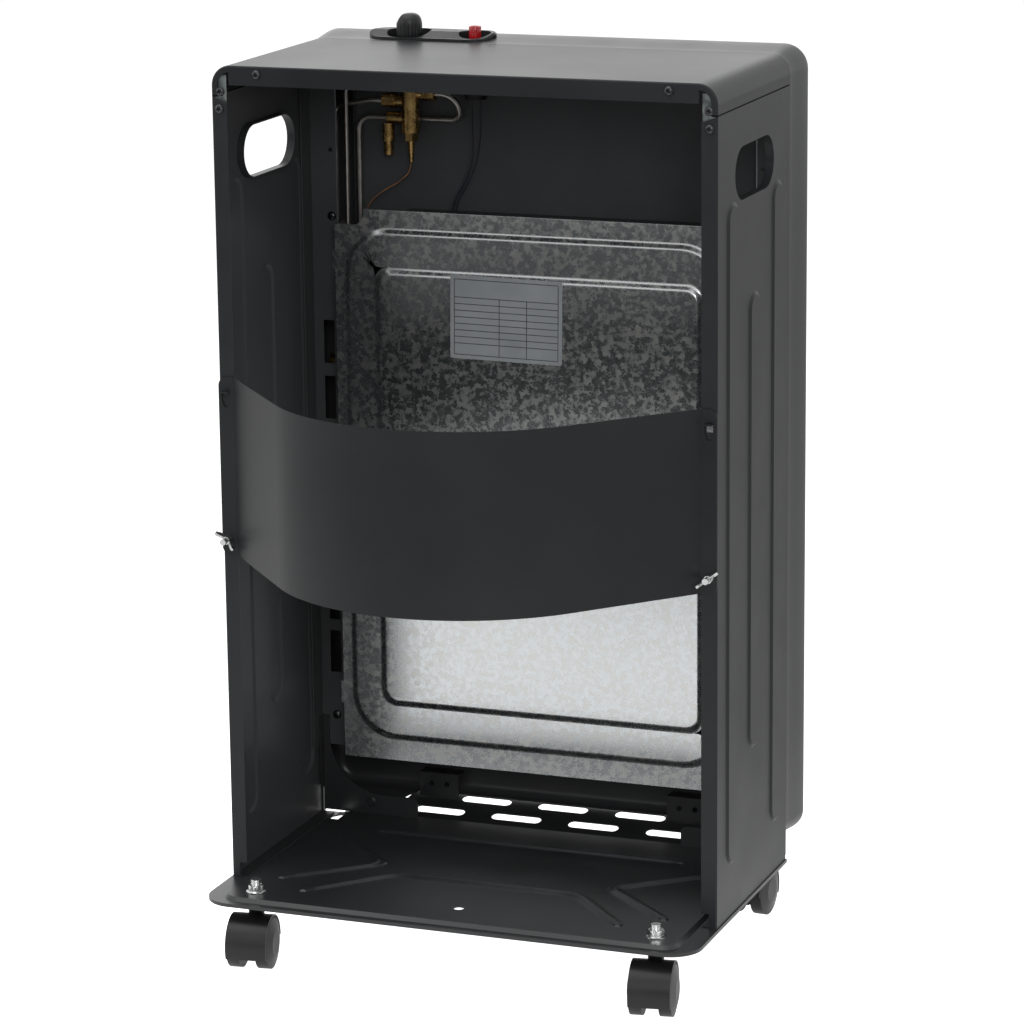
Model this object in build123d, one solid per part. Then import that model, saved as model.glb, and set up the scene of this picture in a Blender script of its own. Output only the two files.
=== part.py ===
from build123d import *
import math
import os

# A portable cabinet heater for bottled gas: a sheet steel cabinet, open at the rear where the bottle stands,
# with a radiant burner in its front, a guard across the rear opening and four twin-wheel casters.
# Every piece is drawn in the cabinet's own frame: x runs across the heater, y = 0 is the rear face of the
# side panels' flanges and y is negative towards the radiant front, z = 0 is the side panels' lower edge.
# place() then moves a finished piece so that the origin lies on the floor under the middle of the heater.

# ---- Driving dimensions, mm ------------------------------------------------------------------------------
gauge = 1.0                    # steel sheet of the casing
cabinet_width = 420.0          # over the two side panels
panel_depth = 188.0            # rear faces to the seam with the front frame
panel_height = 648.0           # lower edge to the seam with the top panel
shoulder_rise = 25.0           # seam to the flat of the top panel
shoulder_radius = 16.0
floor_gap = 57.0               # floor to the side panels' lower edge
seat_gap = 0.3                 # between pieces that only rest near each other
running_gap = 0.05             # radial, between a shaft and its bore
edge_radius = 1.5              # outside bend radius of folded sheet

flange_width = 13.0            # rear return flange of a side panel
flange_notch_height = 12.6     # lower end of the flange's inner strip
flange_notch_width = 6.5
flange_top_fall = 5.0
bottom_flange_end = 2.5
joggle_step = 1.3              # the front edge steps in under the front frame
joggle_length = 6.0
joggle_corner = 4.0

rib_width = 30.0               # pressed ribs of a side panel
rib_height = 1.5
rib_draft = 65.0
rib_from_rear = (39.0, 96.0, 157.0)
long_rib_low = 43.0
long_rib_drop = 71.0           # ribs' upper ends below the seam with the top panel
short_rib_low = 124.0
short_rib_drop = 150.0

hand_hole_length = 102.0
hand_hole_height = 42.0
hand_hole_from_rear = 95.5
hand_hole_drop = 52.0          # its middle below the seam
hand_rim_depth = 6.0           # curled edge, inwards
hand_rim_wall = 1.2

lip_height = 15.5              # rear lip of the top panel
lip_end_gap = 15.0             # from the side to the lip's end
corner_strip = 5.0             # rear strip round each shoulder
gusset_width = 11.5            # bright gusset behind each shoulder
gusset_drop = 18.0             # below the seam
gusset_depth = 22.0

frame_depth = 48.0             # front frame, seam to its front face
frame_proud = 4.0              # how far it stands out past the panels
frame_flush = 8.0              # depth over which it is level with the panels
frame_flare = 14.0             # depth over which it then flares
frame_low = 15.0               # its lower edge
frame_low_corner = 17.0
frame_front_radius = 10.0
opening_inset = 28.0           # from the panels' outside
opening_low = 45.0
opening_drop = 33.0            # below the top panel
opening_corner = 14.0
opening_return = 12.0

pan_rear = 66.0                # base pan past the rear faces
pan_overhang = 1.0             # past the side panels, each side
pan_corner = 26.0
pan_hem = 3.0
pan_nose_inset = 20.0          # narrower under the front frame
pan_nose_start_ahead = 2.0     # forward of the seam
pan_nose_end_ahead = 46.0
pan_nose_corner = 12.0
plateau_rise = 3.0
plateau_margin = 15.0          # from the side panels' outsides
plateau_rear_margin = 6.5      # from the pan's rear
plateau_corner = 14.0
plateau_draft = 45.0
nose_margin = 4.0
ramp_inset = 62.0
ramp_end_ahead = 45.0
ramp_window_end_ahead = 43.0   # the front frame's floor is open above the ramp up to here
vent_length = 45.0
vent_width = 10.0
vent_pitch = 70.0
near_vent_ahead = 15.0
near_vent_count = 4
far_vent_ahead = 36.5
far_vent_count = 3
bead_width = 8.0
bead_height = 1.2
bead_draft = 55.0
chevron_apex = (100.0, -61.0)
chevron_rear = (166.0, -1.0)
chevron_front = (166.0, -118.0)
trapeze_wide = (136.0, 24.0)
trapeze_narrow = (80.0, -38.0)
cross_bead_y = 143.0
cross_bead_half = 136.0
drain_y = 24.0
drain_radius = 4.2
corner_window_inset = (26.5, 17.0)
corner_window_behind = (27.0, 9.0)

stem_inset = 38.0              # casters
rear_stem_y = 38.0
front_stem_ahead = 10.0        # forward of the seam
wheel_radius = 21.0
wheel_width = 10.0
wheel_gap = 14.0               # between the two wheels
wheel_dome = 2.6               # bulge of a wheel's outer face
wheel_hub_radius = 10.0
caster_trail = 13.0
hood_clearance = 0.9           # wheel tread to hood
hood_wall = 1.7
web_side_gap = 0.6
hood_low = 12.5                # lower edge of the hood above the floor
axle_radius = 3.0
neck_radius = 6.5
stem_radius = 4.0
stem_above = 10.5              # above the pan
stem_engagement = 14.0
nut_across_flats = 12.0
nut_height = 6.0
nut_flange_radius = 8.2
nut_flange_height = 1.6
rear_left_swivel = 8.0         # degrees, as the casters stand at rest
rear_right_swivel = 9.0
front_left_swivel = 180.0
front_right_swivel = 176.0

upright_inset = 27.0           # uprights beside the shield
upright_side_leg = 20.0
upright_low = 62.0
upright_drop = 18.0            # below the top panel
upright_slot_inset = (22.0, 12.0)
upright_slot_z = (127.0, 174.0, 350.0, 398.0)
upright_slot_height = 37.0
upright_hole_drop = 68.0       # below the seam with the top panel
upright_hole_radius = 1.8
foot_arc_radius = 50.3
foot_arc_inset = 60.0
foot_arc_z = 70.7
foot_end_inset = 91.0          # inner end of the foot gusset
foot_end_radius = 5.0
foot_high = 88.0
foot_boss_inset = 47.7
foot_boss_z = 13.5
foot_boss_radius = 4.3
foot_boss_height = 1.2
foot_side_leg = 8.0
foot_side_low = 24.0

shield_behind = 25.0           # heat shield's border, behind the seam
shield_inset = 34.0
shield_low = 61.0
shield_drop = 112.5            # its upper edge below the seam with the top panel
shield_notch_width = 26.0
shield_notch_drop = 12.5
shield_notch_radius = 9.0
shield_step = 3.0              # each pressed step towards the rear
shield_draft = 55.0
outer_step_inset = (9.0, 9.0)  # left and right, from the shield's edges
outer_step_low = 80.0
outer_step_drop = 15.5         # below the shield's upper edge
outer_step_radius = 38.0
inner_step_inset = (37.0, 29.0)
inner_step_low = 111.0
inner_step_drop = 48.5
inner_step_radius = 13.0
shield_tab_height = 20.0
shield_tab_margin = 49.0       # from the shield's lower and upper edges to its outer tabs
shield_tab_overlap = 6.0       # over the uprights
bracket_inset = (115.0, 79.0)  # brackets in front of the shield, on the ramp
bracket_ahead = 33.0
bracket_high = 34.0
bracket_hole_pitch = 14.0
bracket_hole_z = 24.0
bracket_hole_radius = 2.4

guard_low = 275.0              # rear guard
guard_high = 422.0
guard_crease_inset = 13.0      # where its flat ends turn outwards
guard_apex = 145.0             # furthest point behind the rear faces
guard_bend_radius = 160.0
guard_corner = 7.0
window_width = 7.5
window_height = 13.5
window_inset = 6.2
window_z = 404.0
guard_stud_inset = 5.5
guard_stud_z = 288.0
guard_stud_radius = 2.5
guard_stud_length = 14.0
stud_hole_gap = 0.5
hook_width = 5.5
hook_length = 6.0
wing_span = 22.0
wing_thickness = 2.0
wing_reach = 11.0
wing_boss_radius = 4.0
wing_boss_tip_radius = 3.2
wing_boss_height = 6.0
wing_gap = 0.2
left_wing_angle = 40.8
right_wing_angle = -36.5

knob_inset = 85.0              # controls on top of the front frame
button_inset = 143.3
control_ahead = 22.0           # forward of the seam
plate_inset = 106.0            # the plate's middle
plate_length = 110.0
plate_depth = 40.0
plate_rise = 2.2               # above the frame, which it follows
plate_step = 0.9               # low step along the plate's edge
plate_wall = 1.2
knob_well_radius = 18.5
button_well_radius = 13.5
well_depth = 11.5
knob_radius = 10.7
knob_sink = 4.0                # its lower edge below the frame's top
knob_height = 20.5
knob_grip_thickness = 7.0
knob_scoop_height = 8.5
knob_dome = 4.5
knob_travel = 4.0              # pushed in to light the burner
knob_cavity = 7.0
knob_wall = 1.8
knob_rest_turn = 20.0          # degrees, the grip at the off position
button_radius = 5.1
button_proud = 7.4             # its top above the frame's top
button_travel = 6.0
button_below = 11.0            # room for its plunger under the plate
button_dish = 0.8
button_bevel = 0.8
spindle_radius = 2.8
spindle_grip = 8.0
spindle_drop = 45.0            # its foot below the frame's top
igniter_radius = 9.0
igniter_drop = 53.0

shelf_drop = 27.0              # bracket that carries the valve and the igniter
shelf_depth = 36.0
shelf_inset = (58.0, 170.0)
shelf_gauge = 1.5
shelf_foot = 10.0
valve_drop = 83.0              # gas valve, on the knob's axis, all below the frame's top
valve_radius = 7.7
valve_neck_radius = 6.0
valve_neck_drop = 20.0
valve_nut_flats = 17.0
branch_radius = 4.8
union_across_flats = 11.0
union_length = 11.0
left_union_drop = 57.0
left_union_reach = 24.0        # from the knob's axis to the nut's far end
right_union_drop = 50.0
right_union_reach = 22.4
pilot_port_drop = 46.0
inlet_reach = 20.3
inlet_drop = 71.0
inlet_radius = 5.2
inlet_length = 15.0
hose_tail_radius = 4.0
hose_tail_length = 10.0
hose_neck_radius = 3.0
hose_neck_length = 2.0
thermo_nut_flats = 10.5
thermo_nut_length = 7.0
thermo_tail_radius = 3.2
thermo_tail_tip = 1.7
thermo_tail_length = 18.0
thermo_lead_radius = 0.8
pipe_radius = 2.5
pipe_sides = 12
lead_sides = 6
pilot_pipe_radius = 2.0
loop_reach = 41.0              # from the knob's axis to the supply tube's loop
loop_drop = 73.0
loop_bends = (14.5, 9.0, 11.0)
pipe_ahead = 32.8
riser_inset = 33.5
pilot_bend = 7.0
pilot_riser_inset = 27.5
pilot_riser_ahead = 20.0
second_riser_inset = 14.0
second_riser_ahead = 28.0
bar_inset = (42.0, 9.0)        # gas manifold bar at the foot of the risers
bar_ahead = (17.5, 35.5)
bar_drop = (291.0, 275.0)
mixer_radius = 6.5
injector_radius = 3.0

burner_inset = 78.0            # burner, between the shield and the grille
burner_drop = 150.0            # below the frame's top
burner_tall = 225.0
burner_behind = 8.0            # its rear, behind the seam
burner_flange_ahead = 39.0
plaque_count = 3
plaque_gap = 8.2               # taken up by a bar between two plaques
plaque_thickness = 12.0
plaque_ahead = 30.0
pilot_inset = 72.0             # from the burner's side
pilot_radius = 3.5
pilot_height = 14.0
electrode_inset = 44.0
electrode_radius = 2.2
electrode_height = 20.0
wire_radius = 0.9
wire_spread = 4.0
grille_inset = 60.0
grille_margin = 16.0           # above and below the burner
grille_reach = 22.0            # past the front face
grille_strip = 2.0
grille_corner = 8.0
grille_wire_radius = 1.8
grille_wire_count = 9
louvre_count = 5
louvre_length = 210.0
louvre_width = 14.0
louvre_height = 5.0
louvre_draft = 40.0
louvre_low_margin = 45.0       # above the opening's lower edge
louvre_high_margin = 26.0
lower_panel_gap = 26.0         # below the burner


# ---- Derived places --------------------------------------------------------------------------------------
half = cabinet_width / 2
inner_side = half - gauge
top = panel_height + shoulder_rise
seam = -panel_depth
front_face = seam - frame_depth
frame_top = top + frame_proud
plate_top = frame_top + plate_rise
grille_front = front_face - grille_reach
rear_shift = -(guard_apex + grille_front) / 2
pan_underside = plateau_rise - gauge
pan_nose_start = panel_depth + pan_nose_start_ahead
pan_nose_end = panel_depth + pan_nose_end_ahead
ramp_end = panel_depth + ramp_end_ahead
front_stem_y = panel_depth + front_stem_ahead
shield_flange_y = panel_depth - shield_behind
control_y = panel_depth + control_ahead
pipe_y = panel_depth + pipe_ahead
bar_y = (panel_depth + bar_ahead[0], panel_depth + bar_ahead[1])
bar_z = (frame_top - bar_drop[0], frame_top - bar_drop[1])
burner_rear_y = panel_depth - burner_behind
burner_flange_y = panel_depth + burner_flange_ahead
plaque_front_y = panel_depth + plaque_ahead
burner_high = frame_top - burner_drop
burner_low = burner_high - burner_tall
lower_panel_high = burner_low - lower_panel_gap
upright_face = seam + gauge
hook_top = window_z + window_height / 2 - seat_gap
hand_hole_z = panel_height - hand_hole_drop
opening_half_width = half - opening_inset
opening_high = top - opening_drop
pan_nose_half_width = half - pan_nose_inset
ramp_half_width = half - ramp_inset
stem_x = half - stem_inset
upright_inner = half - upright_inset
foot_end = half - foot_end_inset
shield_half_width = half - shield_inset
shield_high = panel_height - shield_drop
outer_step_high = shield_high - outer_step_drop
inner_step_high = shield_high - inner_step_drop
guard_crease = half - guard_crease_inset
window_x = half - window_inset
guard_stud_x = half - guard_stud_inset
knob_x = half - knob_inset
button_x = half - button_inset
plate_middle = half - plate_inset
well_floor = plate_top - well_depth
knob_base_z = frame_top - knob_sink
button_top_z = frame_top + button_proud
button_low = well_floor - button_below
spindle_low = frame_top - spindle_drop
igniter_low = frame_top - igniter_drop
igniter_bore_low = button_low - button_travel - seat_gap
shelf_z = frame_top - shelf_drop
valve_low = frame_top - valve_drop
valve_neck_high = frame_top - valve_neck_drop
left_union_z = frame_top - left_union_drop
left_union_end = knob_x + left_union_reach
right_union_z = frame_top - right_union_drop
right_union_end = knob_x - right_union_reach
pilot_port_z = frame_top - pilot_port_drop
inlet_x = knob_x + inlet_reach
inlet_z = frame_top - inlet_drop
loop_x = knob_x - loop_reach
loop_low = frame_top - loop_drop
riser_x = half - riser_inset
bar_x = (half - bar_inset[0], half - bar_inset[1])
burner_half_width = half - burner_inset
pilot_x = burner_half_width - pilot_inset
electrode_x = burner_half_width - electrode_inset
grille_half_width = half - grille_inset
grille_low = burner_low - grille_margin
grille_high = burner_high + grille_margin
written = []


# ---- Shared making ---------------------------------------------------------------------------------------
def block(x0, x1, y0, y1, z0, z1):
    """A cuboid between two opposite corners."""
    size = Box(abs(x1 - x0), abs(y1 - y0), abs(z1 - z0))
    return Pos((x0 + x1) / 2, (y0 + y1) / 2, (z0 + z1) / 2) * size


def rod(radius, start, end):
    """A round bar from one point to another."""
    line = Vector(*end) - Vector(*start)
    return extrude(Plane(origin=start, z_dir=line) * Circle(radius), line.length)


def hex_bar(across_flats, start, end):
    """A hexagonal bar from one point to another."""
    line = Vector(*end) - Vector(*start)
    section = RegularPolygon(across_flats / 2, 6, major_radius=False)
    return extrude(Plane(origin=start, z_dir=line) * section, line.length)


def pipe(radius, points, radii, sides=pipe_sides):
    """A bent tube along straight runs with tangent arcs, its round section drawn with flat sides."""
    path = FilletPolyline(*points, radius=radii)
    return sweep(Plane(origin=path @ 0, z_dir=path % 0) * RegularPolygon(radius, sides), path)


def mirrored(piece):
    """The same piece on the other side of the heater."""
    return mirror(piece, about=Plane.YZ)


def upright_outline(outset, low, low_corner):
    """Cabinet outline in x and z with rounded shoulders, grown by outset, down to a given level."""
    high = top + outset
    sketch = Pos(0, (low + high) / 2) * Rectangle(2 * (half + outset), high - low)
    sketch = fillet(sketch.vertices().group_by(Axis.Y)[-1], shoulder_radius + outset)
    if low_corner:
        sketch = fillet(sketch.vertices().group_by(Axis.Y)[0], low_corner)
    return sketch


def forward(sketch, y0, y1):
    """Extrudes an x-z sketch forward, from y0 to y1."""
    return extrude(Plane.XZ.offset(-y0) * sketch, y0 - y1)


def rearward(sketch, x, y, z, depth, draft=0.0):
    """Extrudes a left-right symmetrical sketch to the rear, with its centre at the given place."""
    plane = Plane(origin=(x, y, z), x_dir=(-1, 0, 0), z_dir=(0, 1, 0))
    return extrude(plane * sketch, depth, taper=draft)


def bead(start, end, level):
    """A raised pressing between two points of the pan, as the form that the punch has."""
    dx = end[0] - start[0]
    dy = end[1] - start[1]
    length = math.hypot(dx, dy) + bead_width
    turn = math.degrees(math.atan2(dy, dx))
    middle = Pos((start[0] + end[0]) / 2, (start[1] + end[1]) / 2, level)
    long = length / 2
    short = long - bead_width / 2
    wide = bead_width / 2
    outline = Polyline(
        (-long, 0), (-short, -wide), (short, -wide), (long, 0), (short, wide), (-short, wide), close=True
    )
    return middle * Rot(0, 0, turn) * extrude(make_face(outline), bead_height, taper=bead_draft)


def place(piece):
    """From the cabinet's frame to the part's frame."""
    return Pos(0, rear_shift, floor_gap) * piece


def save(name, piece):
    """One STEP file for one piece, or for one group of like pieces."""
    solids = list(place(piece).solids())
    body = solids[0] if len(solids) == 1 else Compound(children=solids)
    body.label = name
    export_step(body, "parts/" + name + ".step")
    written.append(name)


# ---- Cabinet ---------------------------------------------------------------------------------------------
def side_panel():
    """Left side panel: web with ribs, rear return flange, bottom flange, joggled lip and hand hole."""
    inner = half - flange_width
    panel = block(inner, half, seam, 0, 0, panel_height)
    corner = panel.edges().filter_by(Axis.Z).sort_by_distance((half, 0, panel_height / 2))[0]
    panel = fillet(corner, edge_radius)
    panel -= block(inner - 1, inner_side, seam - 1, -gauge, gauge, panel_height + 1)
    panel -= block(inner - 1, inner_side, seam - 1, seam + bottom_flange_end, -1, 2 * gauge)
    panel -= block(
        inner - 1, inner + flange_notch_width, -bottom_flange_end, 1, -1, flange_notch_height
    )
    slope = Polyline(
        (inner - 1, panel_height + 1),
        (half, panel_height + 1),
        (half, panel_height),
        (inner - 1, panel_height - flange_top_fall),
        close=True,
    )
    panel -= forward(make_face(slope), 1, -gauge)
    ribs = zip(
        rib_from_rear,
        (long_rib_low, short_rib_low, long_rib_low),
        (panel_height - long_rib_drop, panel_height - short_rib_drop, panel_height - long_rib_drop),
    )
    for from_rear, low, high in ribs:
        plane = Plane(origin=(half, -from_rear, (low + high) / 2), x_dir=(0, 0, 1), z_dir=(1, 0, 0))
        punch = extrude(plane * SlotOverall(high - low, rib_width), rib_height, taper=rib_draft)
        panel = panel + punch - Pos(-gauge, 0, 0) * punch
    rim = Plane(origin=(half, -hand_hole_from_rear, hand_hole_z), x_dir=(0, 1, 0), z_dir=(-1, 0, 0))
    outer = SlotOverall(hand_hole_length + 2 * hand_rim_wall, hand_hole_height + 2 * hand_rim_wall)
    hole = SlotOverall(hand_hole_length, hand_hole_height)
    panel += extrude(rim * outer, hand_rim_depth + gauge)
    panel -= extrude(rim.offset(-1) * hole, hand_rim_depth + gauge + 2)
    panel += joggled_lip()
    panel += block(
        window_x - hook_width / 2,
        window_x + hook_width / 2,
        -gauge,
        hook_length,
        hook_top - gauge,
        hook_top,
    )
    panel -= block(
        window_x - hook_width / 2,
        window_x + hook_width / 2,
        -2 * gauge,
        1,
        hook_top - gauge - hook_length,
        hook_top - gauge,
    )
    return panel


def joggled_lip():
    """The side panel's front edge, set in by one joggle so that the front frame slides over it."""
    outer = half - joggle_step
    lip = block(outer - gauge, outer, seam - joggle_length, seam + gauge, 0, panel_height)
    lip = fillet(lip.edges().filter_by(Axis.X).sort_by(Axis.Y)[:2].sort_by(Axis.Z)[0], joggle_corner)
    return lip + block(outer - gauge, half - gauge / 2, seam, seam + gauge, 0, panel_height)


def top_panel():
    """Inverted trough with round shoulders, a rear lip, thin corner strips and a joggled front."""
    low = panel_height
    panel = forward(upright_outline(0, low, 0), 0, seam)
    rim = [e for e in panel.edges() if abs(e.center().Y) < 0.01 and e.center().Z > low + 0.01]
    panel = fillet(rim, edge_radius)
    panel -= forward(upright_outline(-gauge, low - 1, 0), -gauge, seam - 1)
    opening = forward(upright_outline(-corner_strip, low - 1, 0), 1, -2 * gauge)
    opening -= block(-half + lip_end_gap, half - lip_end_gap, -9, 9, top - lip_height, top)
    panel -= opening
    step = upright_outline(-gauge / 2, low, 0) - upright_outline(-joggle_step - gauge, low - 1, 0)
    lip = upright_outline(-joggle_step, low, 0) - upright_outline(-joggle_step - gauge, low - 1, 0)
    panel += forward(step, seam + gauge, seam)
    panel += forward(lip, seam + gauge, seam - joggle_length)
    return panel - control_wells()


def corner_gusset():
    """Bright left gusset that ties the top panel's shoulder to the side panel behind the rear face."""
    low = panel_height - gusset_drop
    outline = upright_outline(-gauge - seat_gap, low, 0)
    inner = half - gauge - gusset_width
    plate = forward(outline, -gauge - seat_gap, -2 * gauge - seat_gap)
    plate &= block(inner, half, 0, seam, low, top - lip_height / 2)
    wall = outline - upright_outline(-2 * gauge - seat_gap, low - 1, 0)
    leg = forward(wall, -gauge - seat_gap, -gusset_depth) & block(
        inner, half, 0, seam, low, top - lip_height / 2
    )
    return plate + leg


def frame_form(inset):
    """The front frame's full form: level with the panels, then flared, then straight, then rounded."""
    base = upright_outline(-inset, frame_low + frame_proud + inset, frame_low_corner - frame_proud)
    proud = upright_outline(frame_proud - inset, frame_low + inset, frame_low_corner)
    flare_start = -seam + frame_flush
    flare_end = flare_start + frame_flare
    flush = extrude(Plane.XZ.offset(-seam) * base, frame_flush)
    flare = loft([Plane.XZ.offset(flare_start) * base, Plane.XZ.offset(flare_end) * proud])
    body = extrude(Plane.XZ.offset(flare_end) * proud, -front_face - inset - flare_end)
    body = fillet(body.edges().group_by(Axis.Y)[0], frame_front_radius - inset)
    return flush + flare + body


def front_frame():
    """The pressed ring round the radiant front, with its opening's returned edge."""
    wide = 2 * opening_half_width
    tall = opening_high - opening_low
    middle = (opening_high + opening_low) / 2
    hole = Pos(0, middle) * RectangleRounded(wide, tall, opening_corner)
    sleeve = Pos(0, middle) * RectangleRounded(
        wide + 2 * gauge, tall + 2 * gauge, opening_corner + gauge
    )
    frame = frame_form(0) - frame_form(gauge)
    frame += forward(sleeve, front_face + opening_return, front_face + gauge)
    frame -= forward(hole, seam + 1, front_face - 1)
    lip_outer = half - joggle_step + seat_gap
    lip_inner = half - joggle_step - gauge - seat_gap
    lip_end = seam - joggle_length - seat_gap
    for side in (-1, 1):
        frame -= block(
            side * lip_inner, side * lip_outer, lip_end, seam + 1, 0, frame_low + 2 * frame_low_corner
        )
    floor_top = frame_low + frame_proud + gauge
    window_end = seam - ramp_window_end_ahead
    frame -= block(-ramp_half_width, ramp_half_width, seam + 1, window_end, 0, floor_top)
    return frame - control_wells()


def control_wells():
    """Clearance for the two wells of the control plate, through the sheets above and below the seam."""
    wells = Part()
    for x, radius in ((knob_x, knob_well_radius), (button_x, button_well_radius)):
        reach = radius + plate_wall + seat_gap
        wells += rod(reach, (x, -control_y, panel_height), (x, -control_y, plate_top))
    return wells


def upright():
    """Left slotted upright beside the shield: a face leg and a leg along the side wall."""
    high = top - gauge - upright_drop
    outer = inner_side - seat_gap - joggle_step
    face = block(upright_inner, outer, seam, upright_face, upright_low, high)
    leg = block(outer - gauge, outer, seam, seam + upright_side_leg, upright_low, high)
    post = face + leg
    slot_x = [half - inset for inset in upright_slot_inset]
    for low in upright_slot_z:
        post -= block(*slot_x, seam - 1, upright_face + 1, low, low + upright_slot_height)
    x = upright_inner + upright_hole_radius + 4.0
    z = panel_height - upright_hole_drop
    post -= rod(upright_hole_radius, (x, seam - 1, z), (x, seam + 2, z))
    return post


def foot_gusset():
    """Left foot gusset: an arc-cut plate that braces the side wall to the pan, with a bottom leg."""
    outer = inner_side - 2 * seat_gap - joggle_step - gauge
    back = seam + 2 * gauge + seat_gap
    low = plateau_rise
    cx = half - foot_arc_inset
    cz = foot_arc_z
    sill = cz - foot_arc_radius
    plate = Pos((foot_end + outer) / 2, (low + foot_high) / 2) * Rectangle(
        outer - foot_end, foot_high - low
    )
    plate -= Pos(cx, cz) * Circle(foot_arc_radius)
    plate -= Pos((foot_end + cx) / 2, (sill + foot_high) / 2) * Rectangle(
        cx - foot_end, foot_high - sill
    )
    plate -= Pos(cx, foot_high) * Rectangle(2 * foot_arc_radius, 2 * (foot_high - cz))
    corner = plate.vertices().sort_by_distance((foot_end, sill))[0]
    plate = fillet(corner, foot_end_radius)
    gusset = forward(plate, back, back - gauge)
    boss = Circle(foot_boss_radius)
    gusset += rearward(boss, half - foot_boss_inset, back, foot_boss_z, foot_boss_height, plateau_draft)
    toe = -pan_nose_start + seat_gap
    gusset += block(foot_end + foot_end_radius, upright_inner, toe, back, low, low + gauge)
    gusset += block(outer - gauge, outer, back, back + foot_side_leg, foot_side_low, foot_high)
    return gusset


def heat_shield():
    """Galvanised shield between the bottle and the burner, stepped twice towards the bottle."""
    border = Pos(0, (shield_low + shield_high) / 2) * Rectangle(
        2 * shield_half_width, shield_high - shield_low
    )
    for side in (-1, 1):
        notch = Pos(side * shield_half_width, shield_high) * Rectangle(
            2 * shield_notch_width, 2 * shield_notch_drop
        )
        border -= notch
        inner = (side * (shield_half_width - shield_notch_width), shield_high - shield_notch_drop)
        corner = border.vertices().sort_by_distance(inner)[0]
        border = fillet(corner, shield_notch_radius)
    back = -shield_flange_y
    form = forward(border, back, back - shield_step)
    steps = (
        (outer_step_inset, outer_step_low, outer_step_high, outer_step_radius),
        (inner_step_inset, inner_step_low, inner_step_high, inner_step_radius),
    )
    for level, ((left, right), low, high, radius) in enumerate(steps):
        sketch = RectangleRounded(2 * shield_half_width - left - right, high - low, radius)
        y = back + level * shield_step
        form += rearward(sketch, (right - left) / 2, y, (low + high) / 2, shield_step, shield_draft)
    shield = form - Pos(0, -gauge, 0) * form
    edge = shield_half_width
    for side in (-1, 1):
        outer = side * edge
        inner = side * (edge - gauge)
        shield += block(inner, outer, back, seam + gauge + seat_gap, shield_low, outer_step_high)
        first = shield_low + shield_tab_margin
        last = shield_high - shield_tab_margin
        tip = side * (upright_inner + shield_tab_overlap)
        face = upright_face + seat_gap
        for z in (first, (first + last) / 2, last):
            tab_low = z - shield_tab_height / 2
            shield += block(inner, tip, face, face + gauge, tab_low, tab_low + shield_tab_height)
    return shield


# ---- Base pan --------------------------------------------------------------------------------------------
def pan_outline(inset):
    """The pan's outline: wide and round-cornered behind, narrower under the front frame."""
    wide = half + pan_overhang - inset
    rear = pan_rear - inset
    body = Pos(0, (rear - pan_nose_start) / 2) * Rectangle(2 * wide, rear + pan_nose_start)
    body = fillet(body.vertices().group_by(Axis.Y)[-1], pan_corner - inset)
    nose_wide = pan_nose_half_width - inset
    nose_front = -pan_nose_end + inset
    nose = Pos(0, nose_front / 2) * Rectangle(2 * nose_wide, -nose_front)
    nose = fillet(nose.vertices().group_by(Axis.Y)[0], pan_nose_corner - inset)
    return body + nose


def ramp_form():
    """The pan's rising front: a wedge with drafted sides, up to the front frame's underside."""
    high = frame_low - seat_gap
    profile = Polyline(
        (-pan_nose_start, plateau_rise),
        (-ramp_end, high),
        (-ramp_end, 0),
        (-pan_nose_start, 0),
        close=True,
    )
    wedge = extrude(Plane.YZ * make_face(profile), ramp_half_width, both=True)
    lean = (high - plateau_rise) * math.tan(math.radians(plateau_draft))
    sides = Polyline(
        (-ramp_half_width, 0),
        (-ramp_half_width, plateau_rise),
        (-ramp_half_width + lean, high),
        (ramp_half_width - lean, high),
        (ramp_half_width, plateau_rise),
        (ramp_half_width, 0),
        close=True,
    )
    return wedge & forward(make_face(sides), 0, -pan_nose_end)


def pan_form():
    """What the press tool raises above the pan's flange: plateau, nose, ramp and stiffening beads."""
    wide = half - plateau_margin
    rear = pan_rear - plateau_rear_margin
    front = pan_nose_start - nose_margin
    body = Pos(0, (rear - front) / 2) * RectangleRounded(2 * wide, rear + front, plateau_corner)
    form = extrude(body, plateau_rise, taper=plateau_draft)
    nose_wide = pan_nose_half_width - nose_margin
    nose_front = pan_nose_end - nose_margin
    nose_rear = pan_nose_start - 2 * plateau_corner
    nose = Pos(0, -(nose_front + nose_rear) / 2) * RectangleRounded(
        2 * nose_wide, nose_front - nose_rear, pan_nose_corner - nose_margin
    )
    form += extrude(nose, plateau_rise, taper=plateau_draft)
    form += ramp_form()
    for side in (-1, 1):
        apex = (side * chevron_apex[0], chevron_apex[1])
        form += bead(apex, (side * chevron_rear[0], chevron_rear[1]), plateau_rise)
        form += bead(apex, (side * chevron_front[0], chevron_front[1]), plateau_rise)
        wide_end = (side * trapeze_wide[0], trapeze_wide[1])
        narrow_end = (side * trapeze_narrow[0], trapeze_narrow[1])
        form += bead(wide_end, narrow_end, plateau_rise)
    form += bead((-trapeze_narrow[0], trapeze_narrow[1]), trapeze_narrow, plateau_rise)
    form += bead((-cross_bead_half, -cross_bead_y), (cross_bead_half, -cross_bead_y), plateau_rise)
    return form


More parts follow.
